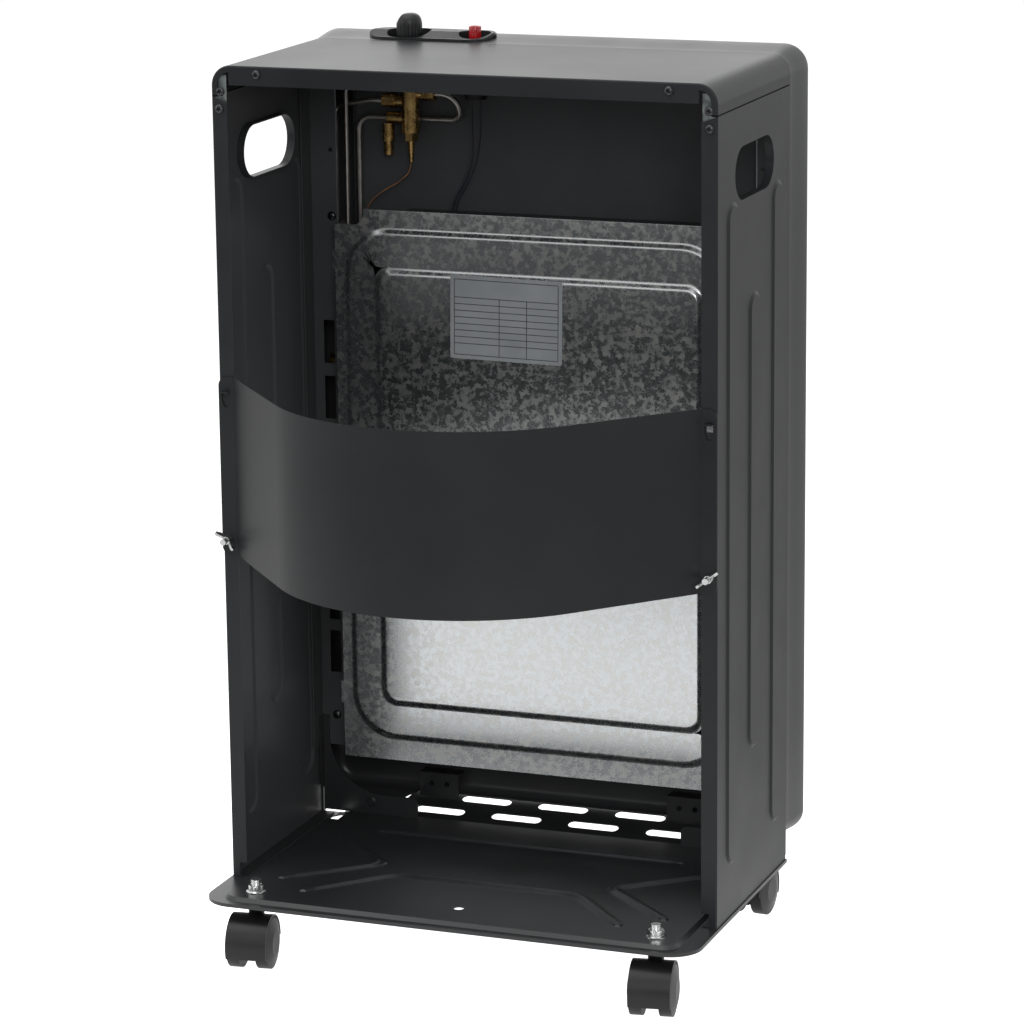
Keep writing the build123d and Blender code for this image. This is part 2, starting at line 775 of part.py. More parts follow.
def base_pan():
    """Stamped floor of the cabinet, with its hem, vents, corner windows, drain and caster holes."""
    pan = extrude(pan_outline(0), -gauge)
    pan += extrude(pan_outline(0) - pan_outline(gauge), -pan_hem)
    form = pan_form()
    pan = pan + form - Pos(0, 0, -gauge) * form
    rows = ((near_vent_ahead, near_vent_count), (far_vent_ahead, far_vent_count))
    for ahead, count in rows:
        for i in range(count):
            x = (i - (count - 1) / 2) * vent_pitch
            vent = extrude(SlotOverall(vent_length, vent_width), frame_low + gauge)
            pan -= Pos(x, seam - ahead, -gauge) * vent
    pan -= block(
        -ramp_half_width, ramp_half_width, -ramp_end, -pan_nose_end - 1, -pan_hem - 1, frame_low
    )
    pan -= rod(drain_radius, (0, drain_y, 0), (0, drain_y, plateau_rise + 1))
    y0, y1 = [seam + behind for behind in corner_window_behind]
    x0, x1 = [half - inset for inset in corner_window_inset]
    for side in (-1, 1):
        pan -= block(side * x0, side * x1, y0, y1, -pan_hem, plateau_rise + 1)
    for x, y in caster_places():
        pan -= rod(stem_radius + seat_gap, (x, y, 0), (x, y, plateau_rise + 1))
    return pan


# ---- Casters ---------------------------------------------------------------------------------------------
def caster_places():
    """Stems of the rear left, rear right, front left and front right casters."""
    return [
        (stem_x, rear_stem_y),
        (-stem_x, rear_stem_y),
        (stem_x, -front_stem_y),
        (-stem_x, -front_stem_y),
    ]


def caster_swivels():
    """How far each caster has swung from trailing straight to the rear, in degrees."""
    return [rear_left_swivel, rear_right_swivel, front_left_swivel, front_right_swivel]


def caster_wheel(side):
    """One wheel of a twin caster, turned about its axle: a flat tread and a low domed outer face."""
    inner = wheel_gap / 2
    tread_end = inner + wheel_width
    bore = axle_radius + running_gap
    profile = Polyline(
        (side * inner, bore),
        (side * inner, wheel_radius),
        (side * tread_end, wheel_radius),
        (side * (tread_end + wheel_dome), wheel_hub_radius),
        (side * (tread_end + wheel_dome), bore),
        close=True,
    )
    wheel = revolve(Plane.XY * make_face(profile), Axis.X)
    return Pos(0, caster_trail, wheel_radius) * wheel


def caster_hood():
    """The swivelling hood: a curved cover over both treads, a web between the wheels and a neck."""
    half_width = wheel_gap / 2 + wheel_width
    inner = wheel_radius + hood_clearance
    outer = inner + hood_wall
    centre = (caster_trail, wheel_radius)
    section = Pos(*centre) * (Circle(outer) - Circle(inner))
    trailing = Pos(caster_trail + outer, hood_low + outer) * Rectangle(2 * outer, 2 * outer)
    leading = Pos(caster_trail - outer, wheel_radius + outer) * Rectangle(2 * outer, 2 * outer)
    section &= trailing + leading
    cover = extrude(Plane.YZ * section, half_width, both=True)
    web = Pos(*centre) * Circle(inner + hood_wall / 2)
    web &= Pos(*centre) * Rectangle(3 * outer, 2 * (wheel_radius - hood_low)) + trailing + leading
    cover += extrude(Plane.YZ * web, wheel_gap / 2 - web_side_gap, both=True)
    neck_foot = wheel_radius + math.sqrt(outer**2 - (caster_trail - neck_radius) ** 2) - hood_wall
    neck_top = floor_gap + pan_underside - seat_gap
    cover += rod(neck_radius, (0, 0, neck_foot - hood_wall), (0, 0, neck_top))
    cover -= extrude(Plane.YZ * (Pos(*centre) * Circle(inner)), half_width + 1, both=True) - extrude(
        Plane.YZ * web, wheel_gap / 2 - web_side_gap, both=True
    )
    cover -= rod(stem_radius + running_gap, (0, 0, neck_top - stem_engagement), (0, 0, neck_top + 1))
    reach = (half_width, caster_trail, wheel_radius)
    cover -= rod(axle_radius + running_gap, (-reach[0], reach[1], reach[2]), reach)
    return cover


def caster_axle():
    """The steel pin through the web and both wheels, ending flush with the wheels."""
    half_width = wheel_gap / 2 + wheel_width + wheel_dome
    pin = rod(axle_radius, (-half_width, 0, 0), (half_width, 0, 0))
    return Pos(0, caster_trail, wheel_radius) * pin


def caster_stud():
    """Threaded stem that hangs from the pan by its nut and carries the swivelling hood."""
    foot = pan_underside - stem_engagement
    return rod(stem_radius, (0, 0, foot), (0, 0, plateau_rise + stem_above))


def flange_nut():
    """Hexagon nut with a round flange, standing on z = 0."""
    nut = hex_bar(nut_across_flats, (0, 0, 0), (0, 0, nut_height))
    nut += rod(nut_flange_radius, (0, 0, 0), (0, 0, nut_flange_height))
    return nut - rod(stem_radius + running_gap, (0, 0, -1), (0, 0, nut_height + 1))


# ---- Rear guard ------------------------------------------------------------------------------------------
def guard_path(offset):
    """Right half of the guard's bend in plan: end, crease, tangent point and apex, one face of the sheet."""
    radius = guard_bend_radius - gauge + offset
    centre_y = guard_apex - guard_bend_radius
    end_y = seat_gap + offset
    outer_end_y = seat_gap + gauge
    reach = math.hypot(guard_crease, outer_end_y - centre_y)
    turn = math.atan2(outer_end_y - centre_y, guard_crease) + math.acos(guard_bend_radius / reach)
    crease_x = (radius - (end_y - centre_y) * math.sin(turn)) / math.cos(turn)
    tangent = (radius * math.cos(turn), centre_y + radius * math.sin(turn))
    return (half + seat_gap, end_y), (crease_x, end_y), tangent, (0, centre_y + radius)


def rear_guard():
    """Bowed band across the rear opening with flat ends, hook windows and stud holes."""
    edges = []
    ends = []
    for offset in (0, gauge):
        end, crease, tangent, apex = guard_path(offset)
        left = [(-x, y) for x, y in (end, crease, tangent)]
        edges += [Line(end, crease), Line(crease, tangent), Line(left[0], left[1])]
        edges += [Line(left[1], left[2]), ThreePointArc(tangent, apex, left[2])]
        ends.append((end, left[0]))
    edges += [Line(ends[0][0], ends[1][0]), Line(ends[0][1], ends[1][1])]
    band = extrude(make_face(Curve() + edges), guard_high - guard_low)
    band = Pos(0, 0, guard_low) * band
    corners = band.edges().filter_by(Axis.Y).group_by(Axis.X)
    band = fillet(corners[0] + corners[-1], guard_corner)
    wide = window_width / 2
    tall = window_height / 2
    shape = Polyline(
        (-wide, tall), (wide, tall), (wide, 0), (wide / 2, -tall), (-wide / 2, -tall), (-wide, 0), close=True
    )
    window = make_face(shape)
    window = fillet(window.vertices().group_by(Axis.Y)[0], wide / 2)
    for side in (-1, 1):
        band -= rearward(window, side * window_x, -gauge, window_z, 4 * gauge)
        x = side * guard_stud_x
        hole = guard_stud_radius + stud_hole_gap
        band -= rod(hole, (x, -gauge, guard_stud_z), (x, 4 * gauge, guard_stud_z))
    return band


def guard_stud():
    """Left threaded stud welded to the rear flange."""
    place_x = (guard_stud_x, 0, guard_stud_z)
    return rod(guard_stud_radius, place_x, (guard_stud_x, guard_stud_length, guard_stud_z))


def wing_nut(side, angle):
    """Wing nut on a guard stud: a tapered boss and two wings that rise away from the guard."""
    standing = (Align.CENTER, Align.CENTER, Align.MIN)
    boss = Cone(wing_boss_radius, wing_boss_tip_radius, wing_boss_height, align=standing)
    tip = wing_span / 2
    rise = wing_boss_height / 2
    outline = Polyline(
        (-wing_boss_tip_radius, gauge),
        (wing_boss_tip_radius, gauge),
        (tip - rise, rise),
        (tip, wing_reach - rise),
        (tip - gauge, wing_reach - gauge),
        (tip - rise, wing_reach - gauge),
        (wing_boss_tip_radius, wing_boss_height - gauge / 2),
        (-wing_boss_tip_radius, wing_boss_height - gauge / 2),
        (-tip + rise, wing_reach - gauge),
        (-tip + gauge, wing_reach - gauge),
        (-tip, wing_reach - rise),
        (-tip + rise, rise),
        close=True,
    )
    blade = make_face(outline)
    nut = boss + extrude(Plane.XZ * blade, wing_thickness / 2, both=True)
    bore = guard_stud_radius + running_gap
    nut -= rod(bore, (0, 0, -1), (0, 0, wing_reach))
    base = seat_gap + gauge + wing_gap
    turned = Rot(-90, 0, 0) * nut
    return Pos(side * guard_stud_x, base, guard_stud_z) * Rot(0, -angle, 0) * turned


# ---- Controls --------------------------------------------------------------------------------------------
def control_plate():
    """Moulded plate that follows the front frame's flare, with wells for the knob and the button."""
    middle = Pos(plate_middle, -control_y, top - frame_proud)
    tall = plate_rise + 3 * frame_proud
    edge = middle * extrude(SlotOverall(plate_length, plate_depth), tall)
    face = middle * extrude(SlotOverall(plate_length - 2 * plate_wall, plate_depth - 2 * plate_wall), tall)
    plate = (edge & frame_form(plate_step - plate_rise)) + (face & frame_form(-plate_rise))
    plate -= frame_form(0)
    wells = (
        (knob_x, knob_well_radius, spindle_radius),
        (button_x, button_well_radius, button_radius),
    )
    for x, radius, shaft in wells:
        low = (x, -control_y, well_floor - plate_wall)
        cup = rod(radius + plate_wall, low, (x, -control_y, plate_top))
        plate += cup & frame_form(gauge / 2 - plate_rise)
        plate -= rod(radius, (x, -control_y, well_floor), (x, -control_y, plate_top + 1))
        under = (x, -control_y, well_floor - 2 * plate_wall)
        plate -= rod(shaft + 2 * seat_gap, under, (x, -control_y, well_floor + 1))
    return plate


def valve_spindle():
    """The valve's push-and-turn shaft, up into the knob."""
    foot = (knob_x, -control_y, spindle_low)
    tip = (knob_x, -control_y, knob_base_z + knob_cavity + spindle_grip)
    return rod(spindle_radius, foot, tip)


def control_knob():
    """Knob whose crown is scooped on two sides into a finger grip."""
    body = Cylinder(knob_radius, knob_height, align=(Align.CENTER, Align.CENTER, Align.MIN))
    body = chamfer(body.edges().group_by(Axis.Z)[-1], knob_dome)
    scoop_radius = 1.6 * knob_scoop_height
    for side in (-1, 1):
        away = side * (knob_grip_thickness / 2 + scoop_radius)
        scoop = Cylinder(scoop_radius, 3 * knob_radius, rotation=(0, 90, 0))
        body -= Pos(0, away, knob_height - knob_scoop_height + scoop_radius) * scoop
    body -= rod(knob_radius - knob_wall, (0, 0, -1), (0, 0, knob_cavity))
    bore = spindle_radius + running_gap
    body -= rod(bore, (0, 0, 0), (0, 0, knob_cavity + spindle_grip + seat_gap))
    return Pos(knob_x, -control_y, knob_base_z) * Rot(0, 0, knob_rest_turn) * body


def ignition_button():
    """Red push button with a dished top, on its own plunger."""
    low = (button_x, -control_y, button_low)
    button = rod(button_radius, low, (button_x, -control_y, button_top_z))
    button = chamfer(button.edges().group_by(Axis.Z)[-1], button_bevel)
    hanging = (Align.CENTER, Align.CENTER, Align.MAX)
    dish = Cone(0, button_radius - 2 * button_bevel, button_dish, align=hanging)
    return button - Pos(button_x, -control_y, button_top_z) * dish


def igniter_body():
    """Piezo igniter barrel below the button, hung in the control shelf by its flange."""
    high = well_floor - plate_wall - seat_gap
    barrel = rod(igniter_radius, (button_x, -control_y, igniter_low), (button_x, -control_y, high))
    seat = shelf_z + shelf_gauge
    flange = (button_x, -control_y, seat + 2 * gauge)
    barrel += rod(igniter_radius + 2 * gauge, (button_x, -control_y, seat), flange)
    bore = button_radius + running_gap
    return barrel - rod(bore, (button_x, -control_y, igniter_bore_low), (button_x, -control_y, high + 1))


def control_shelf():
    """Folded bracket under the frame's top that carries the valve and the igniter."""
    rear = -control_y + shelf_depth / 2
    front = -control_y - shelf_depth / 2
    low = shelf_z
    thick = shelf_gauge
    under = frame_top - gauge - seat_gap
    left, right = [half - inset for inset in shelf_inset]
    shelf = block(right, left, front, rear, low, low + thick)
    leg_rear = seam - frame_flush - frame_flare - seat_gap
    leg_front = front_face + frame_front_radius + seat_gap
    for inner, outer in ((left - thick, left), (right + thick, right)):
        shelf += block(inner, outer, leg_front, leg_rear, low, under)
        toe = outer + math.copysign(shelf_foot, outer - inner)
        shelf += block(inner, toe, leg_front, leg_rear, under - thick, under)
    neck = valve_neck_radius + seat_gap
    shelf -= rod(neck, (knob_x, -control_y, low - 1), (knob_x, -control_y, low + 2 * thick))
    barrel = igniter_radius + seat_gap
    shelf -= rod(barrel, (button_x, -control_y, low - 1), (button_x, -control_y, low + 2 * thick))
    return shelf


# ---- Gas train -------------------------------------------------------------------------------------------
def valve_body():
    """Brass valve: barrel with a stepped foot, branch bosses, inlet arm and a neck up through the shelf."""
    x = knob_x
    y = -control_y
    barrel = rod(valve_radius, (x, y, valve_low), (x, y, shelf_z - seat_gap))
    barrel += rod(valve_neck_radius, (x, y, shelf_z - gauge), (x, y, valve_neck_high))
    left = left_union_end - union_length
    right = right_union_end + union_length
    barrel += rod(branch_radius, (x, y, left_union_z), (left, y, left_union_z))
    barrel += rod(branch_radius, (x, y, right_union_z), (right, y, right_union_z))
    barrel += rod(branch_radius, (x, y, inlet_z), (inlet_x, y, inlet_z))
    pilot_level = pilot_port_z + gauge
    barrel += rod(pilot_pipe_radius + gauge, (x, y, pilot_level), (left - gauge, y, pilot_level))
    bore = spindle_radius + running_gap
    return barrel - rod(bore, (x, y, spindle_low - knob_travel - 2), (x, y, valve_neck_high + 1))


def gas_inlet():
    """Inlet fitting under the valve's arm: a cylinder, a narrow neck and the tail for the hose."""
    x = inlet_x
    y = -control_y
    cap = inlet_z - branch_radius - running_gap
    inlet_low = cap - inlet_length
    tail = inlet_low - hose_neck_length
    fitting = rod(inlet_radius, (x, y, inlet_low), (x, y, cap))
    fitting += rod(hose_neck_radius, (x, y, tail), (x, y, inlet_low))
    fitting += rod(hose_tail_radius, (x, y, tail - hose_tail_length), (x, y, tail))
    end = fitting.edges().group_by(Axis.Z)[0]
    return chamfer(end, gauge / 2)


def union_nut(start, end, hole):
    """Hexagon union nut along a pipe's end."""
    return hex_bar(union_across_flats, start, end) - rod(hole + running_gap, start, end)


def union_nuts():
    """The nuts at the valve: two pipe unions and the panel nut on the valve's neck."""
    y = -control_y
    left = left_union_end - union_length
    right = right_union_end + union_length
    seat = shelf_z + shelf_gauge
    panel_nut = hex_bar(valve_nut_flats, (knob_x, y, seat), (knob_x, y, seat + 4 * gauge))
    panel_nut -= rod(valve_neck_radius + running_gap, (knob_x, y, seat - 1), (knob_x, y, valve_neck_high))
    nuts = [
        union_nut((left, y, left_union_z), (left_union_end, y, left_union_z), pipe_radius),
        union_nut((right, y, right_union_z), (right_union_end, y, right_union_z), pipe_radius),
        panel_nut,
    ]
    return Compound(children=nuts)


def burner_supply_tube():
    """Tube from the right union: a loop back behind the valve, then down to the manifold."""
    points = [
        (right_union_end + union_length, -control_y, right_union_z),
        (loop_x, -control_y, right_union_z),
        (loop_x, -pipe_y, loop_low),
        (riser_x, -pipe_y, loop_low),
        (riser_x, -pipe_y, bar_z[1]),
    ]
    return pipe(pipe_radius, points, loop_bends)


def second_supply_tube():
    """Tube from the left union, over the upright's inner side and down to the manifold."""
    x = half - second_riser_inset
    y = seam - second_riser_ahead
    points = [
        (left_union_end - union_length, -control_y, left_union_z),
        (left_union_end + union_length, -control_y, left_union_z),
        (x, y, left_union_z - 2 * union_length / 3),
        (x, y, bar_z[1]),
    ]
    return pipe(pipe_radius, points, [6 * pipe_radius, 3 * pipe_radius])


def pilot_tube():
    """Thin tube from the valve's upper port, turned down beside the main riser."""
    x = half - pilot_riser_inset
    y = seam - pilot_riser_ahead
    level = pilot_port_z + gauge
    points = [
        (left_union_end - union_length - gauge, -control_y, level),
        (x - 4 * pilot_bend, -control_y, level),
        (x, y, level),
        (x, y, bar_z[1]),
    ]
    return pipe(pilot_pipe_radius, points, [4 * pilot_bend, pilot_bend])


def thermocouple_nut():
    """Small hexagon nut under the valve with the lead's tapered sleeve."""
    x = knob_x
    y = -control_y
    low = valve_low - thermo_nut_length
    nut = hex_bar(thermo_nut_flats, (x, y, low), (x, y, valve_low))
    sleeve = Cone(
        thermo_tail_tip, thermo_tail_radius, thermo_tail_length, align=(Align.CENTER, Align.CENTER, Align.MAX)
    )
    return nut + Pos(x, y, low) * sleeve


def eased(points):
    """Bend radii for a lead: as large as the two runs at each corner allow."""
    radii = []
    for before, corner, after in zip(points, points[1:], points[2:]):
        first = Vector(*corner) - Vector(*before)
        second = Vector(*after) - Vector(*corner)
        turn = math.radians(first.get_angle(second))
        radii.append(0.45 * min(first.length, second.length) / math.tan(turn / 2))
    return radii


def thermocouple_lead():
    """Copper capillary from the nut, down and across behind the shield to the burner's side."""
    start_z = valve_low - thermo_nut_length - thermo_tail_length - seat_gap
    points = [
        (knob_x, -control_y, start_z),
        (knob_x + 2.0, -control_y, start_z - 9.0),
        (knob_x + 11.0, -control_y + 1.0, start_z - 17.0),
        (knob_x + 24.0, -control_y + 3.0, start_z - 24.0),
        (knob_x + 36.0, -control_y + 4.0, start_z - 34.0),
        (knob_x + 43.0, -control_y + 5.0, start_z - 50.0),
        (knob_x + 40.0, -control_y + 6.0, start_z - 68.0),
        (knob_x + 28.0, -control_y + 7.0, start_z - 82.0),
        (burner_half_width + thermo_lead_radius, -control_y + 7.0, start_z - 89.0),
    ]
    radii = eased(points)
    print("thermocouple lead bends", [round(radius, 1) for radius in radii])
    return pipe(thermo_lead_radius, points, radii, lead_sides)


def igniter_wires():
    """Two insulated wires from the igniter down to the burner's top, drawing together on the way."""
    wires = []
    for side in (-1, 1):
        spread = side * wire_spread
        points = [
            (button_x + spread, -control_y, igniter_low),
            (button_x + spread, -control_y, igniter_low - 16.0),
            (button_x + 0.8 * spread, -control_y, igniter_low - 34.0),
            (button_x + 0.5 * spread + 2.0, -control_y, igniter_low - 52.0),
            (button_x + 0.4 * spread + 9.0, -control_y, igniter_low - 70.0),
            (button_x + 0.4 * spread + 18.0, -control_y, igniter_low - 84.0),
            (electrode_x + 0.4 * spread, -control_y, burner_high + wire_radius),
        ]
        wires.append(pipe(wire_radius, points, eased(points), lead_sides))
    return Compound(children=wires)


def manifold_bar():
    """Gas manifold: a bar under the risers with two injectors towards the burner."""
    bar = block(*bar_x, -bar_y[0], -bar_y[1], *bar_z)
    bar = chamfer(bar.edges().filter_by(Axis.X), 2 * gauge)
    y = -(bar_y[0] + bar_y[1]) / 2
    z = (bar_z[0] + bar_z[1]) / 2
    bar += rod(injector_radius, (bar_x[0], y, z), (bar_x[0] - 2 * mixer_radius, y, z))
    return bar


def mixer_tube():
    """Venturi that carries gas and air from the injector into the burner's side."""
    y = -(bar_y[0] + bar_y[1]) / 2
    z = (bar_z[0] + bar_z[1]) / 2
    length = bar_x[0] - burner_half_width - seat_gap
    tube = rod(mixer_radius, (0, 0, 0), (length, 0, 0))
    tube -= rod(mixer_radius - gauge, (0, 0, 0), (length, 0, 0))
    return Pos(burner_half_width, y, z) * tube


# ---- Burner and front ------------------------------------------------------------------------------------
def front_sheet(low, high):
    """A sheet that fills the frame's opening between two levels, with rounded outer corners."""
    wide = 2 * (opening_half_width - seat_gap)
    sheet = Pos(0, (low + high) / 2) * Rectangle(wide, high - low)
    return sheet


def burner_housing():
    """Pressed tray that holds the plaques, with a flange that fills the frame's opening."""
    flange_y = -burner_flange_y
    wide = 2 * burner_half_width
    tall = burner_high - burner_low
    middle = (burner_high + burner_low) / 2
    box = Pos(0, middle) * Rectangle(wide, tall)
    inside = Pos(0, middle) * Rectangle(wide - 2 * gauge, tall - 2 * gauge)
    high = opening_high - seat_gap
    sheet = front_sheet(lower_panel_high + seat_gap, high)
    sheet = fillet(sheet.vertices().group_by(Axis.Y)[-1], opening_corner - seat_gap)
    housing = forward(sheet, flange_y, flange_y - gauge)
    housing += forward(box, -burner_rear_y, flange_y)
    return housing - forward(inside, -burner_rear_y - gauge, flange_y - 2 * gauge)


def plaque_levels():
    """Lower and upper edges of the radiant plaques, evenly spaced inside the housing."""
    pitch = (burner_high - burner_low - 2 * gauge) / plaque_count
    first = burner_low + gauge + plaque_gap / 2
    lows = [first + i * pitch for i in range(plaque_count)]
    return [(low, low + pitch - plaque_gap) for low in lows]


def radiant_plaques():
    """Ceramic plaques, one above the other."""
    wide = burner_half_width - gauge - seat_gap
    front = -plaque_front_y
    plaques = [
        block(-wide, wide, front, front + plaque_thickness, low, high)
        for low, high in plaque_levels()
    ]
    return Compound(children=plaques)


def plaque_bars():
    """Steel bars that hold the plaques apart and against the housing's ends."""
    wide = burner_half_width - gauge - seat_gap
    front = -plaque_front_y
    edges = [burner_low + gauge]
    for low, high in plaque_levels():
        edges += [low, high]
    edges.append(burner_high - gauge)
    bars = []
    for low, high in zip(edges[::2], edges[1::2]):
        bar = block(
            -wide, wide, front - gauge, front + plaque_thickness, low + seat_gap, high - seat_gap
        )
        bars.append(bar)
    return Compound(children=bars)


def pilot_burner():
    """Hexagonal pilot jet standing on the housing's lower wall before the plaques."""
    y = -(plaque_front_y + burner_flange_y) / 2 - gauge / 2
    low = burner_low + gauge
    x = pilot_x
    return hex_bar(2 * pilot_radius, (x, y, low), (x, y, low + pilot_height))


def ignition_electrode():
    """Ceramic-bodied electrode beside the pilot, its tip bent towards the jet."""
    y = -(plaque_front_y + burner_flange_y) / 2 - gauge / 2
    low = burner_low + gauge
    x = electrode_x
    high = low + electrode_height
    body = rod(electrode_radius, (x, y, low), (x, y, high))
    reach = (x - pilot_x) / 2
    points = [(x, y, high - gauge), (x, y, high + reach), (x - reach, y, high + reach)]
    return body + pipe(wire_radius, points, [3 * gauge], lead_sides)


def front_grille():
    """Guard before the plaques: two bent cheeks and a row of bright rods."""
    wide = grille_half_width
    back = -burner_flange_y - gauge - seat_gap
    cheek = Pos((grille_front + back) / 2, (grille_low + grille_high) / 2) * Rectangle(
        back - grille_front, grille_high - grille_low
    )
    cheek = fillet(cheek.vertices().group_by(Axis.X)[0], grille_corner)
    grille = Part()
    for side in (-1, 1):
        face = Plane.YZ.offset(side * wide)
        grille += extrude(face * cheek, -side * grille_strip)
        foot = side * (wide + 5 * grille_strip)
        grille += block(
            side * (wide - grille_strip), foot, back, back - grille_strip / 2, grille_low, grille_high
        )
    pitch = (grille_high - grille_low - 4 * grille_corner) / (grille_wire_count - 1)
    y = grille_front + 2 * grille_wire_radius
    for i in range(grille_wire_count):
        z = grille_low + 2 * grille_corner + i * pitch
        wire = Plane.YZ.offset(1 - wide) * (Pos(y, z) * RegularPolygon(grille_wire_radius, pipe_sides))
        grille += extrude(wire, 2 * wide - 2)
    return grille


def lower_front_panel():
    """Sheet below the burner with rows of pressed louvres."""
    flange_y = -burner_flange_y
    sheet = front_sheet(opening_low + seat_gap, lower_panel_high)
    sheet = fillet(sheet.vertices().group_by(Axis.Y)[0], opening_corner - seat_gap)
    panel = forward(sheet, flange_y, flange_y - gauge)
    louvre_low = opening_low + louvre_low_margin
    louvre_pitch = (lower_panel_high - louvre_high_margin - louvre_low) / (louvre_count - 1)
    for i in range(louvre_count):
        z = louvre_low + i * louvre_pitch
        plane = Plane.XZ.offset(burner_flange_y + gauge)
        hood = Pos(0, z + louvre_width / 2) * Rectangle(louvre_length, louvre_width)
        punch = extrude(plane * hood, louvre_height, taper=louvre_draft)
        panel = panel + punch - Pos(0, gauge, 0) * punch
        panel -= block(
            -louvre_length / 2 + louvre_height,
            louvre_length / 2 - louvre_height,
            flange_y - louvre_height,
            flange_y - gauge,
            z - 1,
            z + 2 * gauge,
        )
    return panel


def shield_bracket():
    """Left bracket in front of the shield: it stands on the ramp and ties the pan to the front frame."""
    x1, x0 = [half - inset for inset in bracket_inset]
    back = seam - bracket_ahead
    slope = (frame_low - seat_gap - plateau_rise) / (ramp_end - pan_nose_start)
    foot = plateau_rise + slope * (gauge - back - pan_nose_start) + seat_gap
    bracket = block(x0, x1, back, back - gauge, foot, bracket_high)
    bracket += block(x0, x1, back, front_face + gauge + seat_gap, bracket_high - gauge, bracket_high)
    for side in (-1, 1):
        x = (x0 + x1) / 2 + side * bracket_hole_pitch / 2
        bracket -= rod(bracket_hole_radius, (x, back + 1, bracket_hole_z), (x, back - 2, bracket_hole_z))
    return bracket


# ---- Making every piece ----------------------------------------------------------------------------------
os.makedirs("parts", exist_ok=True)

save("base_pan", base_pan())
left_pieces = {
    "side_panel": side_panel(),
    "corner_gusset": corner_gusset(),
    "upright": upright(),
    "foot_gusset": foot_gusset(),
    "shield_bracket": shield_bracket(),
}
for name, piece in left_pieces.items():
    save(name + "_left", piece)
    save(name + "_right", mirrored(piece))
save("top_panel", top_panel())
save("front_frame", front_frame())
save("heat_shield", heat_shield())
save("burner_housing", burner_housing())
save("radiant_plaques", radiant_plaques())
save("plaque_bars", plaque_bars())
save("pilot_burner", pilot_burner())
save("ignition_electrode", ignition_electrode())
save("front_grille", front_grille())
save("lower_front_panel", lower_front_panel())
save("control_shelf", control_shelf())
save("control_plate", control_plate())
save("valve_spindle", valve_spindle())
save("control_knob", control_knob())
save("ignition_button", ignition_button())
save("igniter_body", igniter_body())
save("igniter_wires", igniter_wires())
save("valve_body", valve_body())
save("gas_inlet", gas_inlet())
save("union_nuts", union_nuts())
save("burner_supply_tube", burner_supply_tube())
save("second_supply_tube", second_supply_tube())
save("pilot_tube", pilot_tube())
save("thermocouple_nut", thermocouple_nut())
save("thermocouple_lead", thermocouple_lead())
save("manifold_bar", manifold_bar())
save("mixer_tube", mixer_tube())
stud = guard_stud()
save("guard_studs", Compound(children=[stud, mirrored(stud)]))
save("rear_guard", rear_guard())
save("wing_nut_left", wing_nut(1, left_wing_angle))
save("wing_nut_right", wing_nut(-1, right_wing_angle))

corners = ("rear_left", "rear_right", "front_left", "front_right")
studs = [Pos(x, y, 0) * caster_stud() for x, y in caster_places()]
save("caster_studs", Compound(children=studs))
nuts = [Pos(x, y, plateau_rise) * flange_nut() for x, y in caster_places()]
save("caster_nuts", Compound(children=nuts))
for corner, (x, y), swivel in zip(corners, caster_places(), caster_swivels()):
    on_floor = Pos(x, y, -floor_gap) * Rot(0, 0, swivel)
    save("caster_hood_" + corner, on_floor * caster_hood())
    save("caster_axle_" + corner, on_floor * caster_axle())
    save("caster_wheel_outer_" + corner, on_floor * caster_wheel(1))
    save("caster_wheel_inner_" + corner, on_floor * caster_wheel(-1))
print(len(written), "pieces written")
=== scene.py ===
import bmesh
import bpy
import math
from mathutils import Matrix, Vector


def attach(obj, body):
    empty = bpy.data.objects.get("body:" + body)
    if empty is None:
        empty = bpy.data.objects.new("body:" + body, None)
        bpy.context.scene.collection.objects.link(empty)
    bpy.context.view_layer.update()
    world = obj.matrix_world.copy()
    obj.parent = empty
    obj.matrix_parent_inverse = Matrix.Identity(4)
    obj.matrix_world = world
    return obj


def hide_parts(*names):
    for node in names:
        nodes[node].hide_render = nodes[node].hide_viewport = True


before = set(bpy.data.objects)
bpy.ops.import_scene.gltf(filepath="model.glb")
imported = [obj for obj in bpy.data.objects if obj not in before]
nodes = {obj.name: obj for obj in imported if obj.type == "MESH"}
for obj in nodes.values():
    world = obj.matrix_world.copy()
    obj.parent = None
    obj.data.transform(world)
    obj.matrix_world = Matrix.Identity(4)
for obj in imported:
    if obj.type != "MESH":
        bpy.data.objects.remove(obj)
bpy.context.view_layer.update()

# ---- The viewpoint ----------------------------------------------------------------------------------------
# A long lens that looks down a little on the heater's open rear, from the side where the controls are.
# Its heading goes round the heater, and its lean is a slight roll about the line of sight.
camera_place = Vector((-1.1479, 2.9999, 1.1381))
heading = math.radians(200.62)
downward = math.radians(13.46)
lean = math.radians(-0.61)
focal_length = 144.17

sight = -Vector((
    math.sin(heading) * math.cos(downward),
    -math.cos(heading) * math.cos(downward),
    math.sin(downward),
))
level = sight.cross(Vector((0, 0, 1))).normalized()
upward = level.cross(sight)
right = level * math.cos(lean) + upward * math.sin(lean)
above = upward * math.cos(lean) - level * math.sin(lean)
lens = bpy.data.cameras.new("photo_lens")
lens.sensor_width = 36.0
lens.lens = focal_length
lens.clip_end = 50.0
camera = bpy.data.objects.new("photo_lens", lens)
turn = Matrix((right, above, -sight)).transposed().to_4x4()
camera.matrix_world = Matrix.Translation(camera_place) @ turn
bpy.context.scene.collection.objects.link(camera)
bpy.context.scene.camera = camera

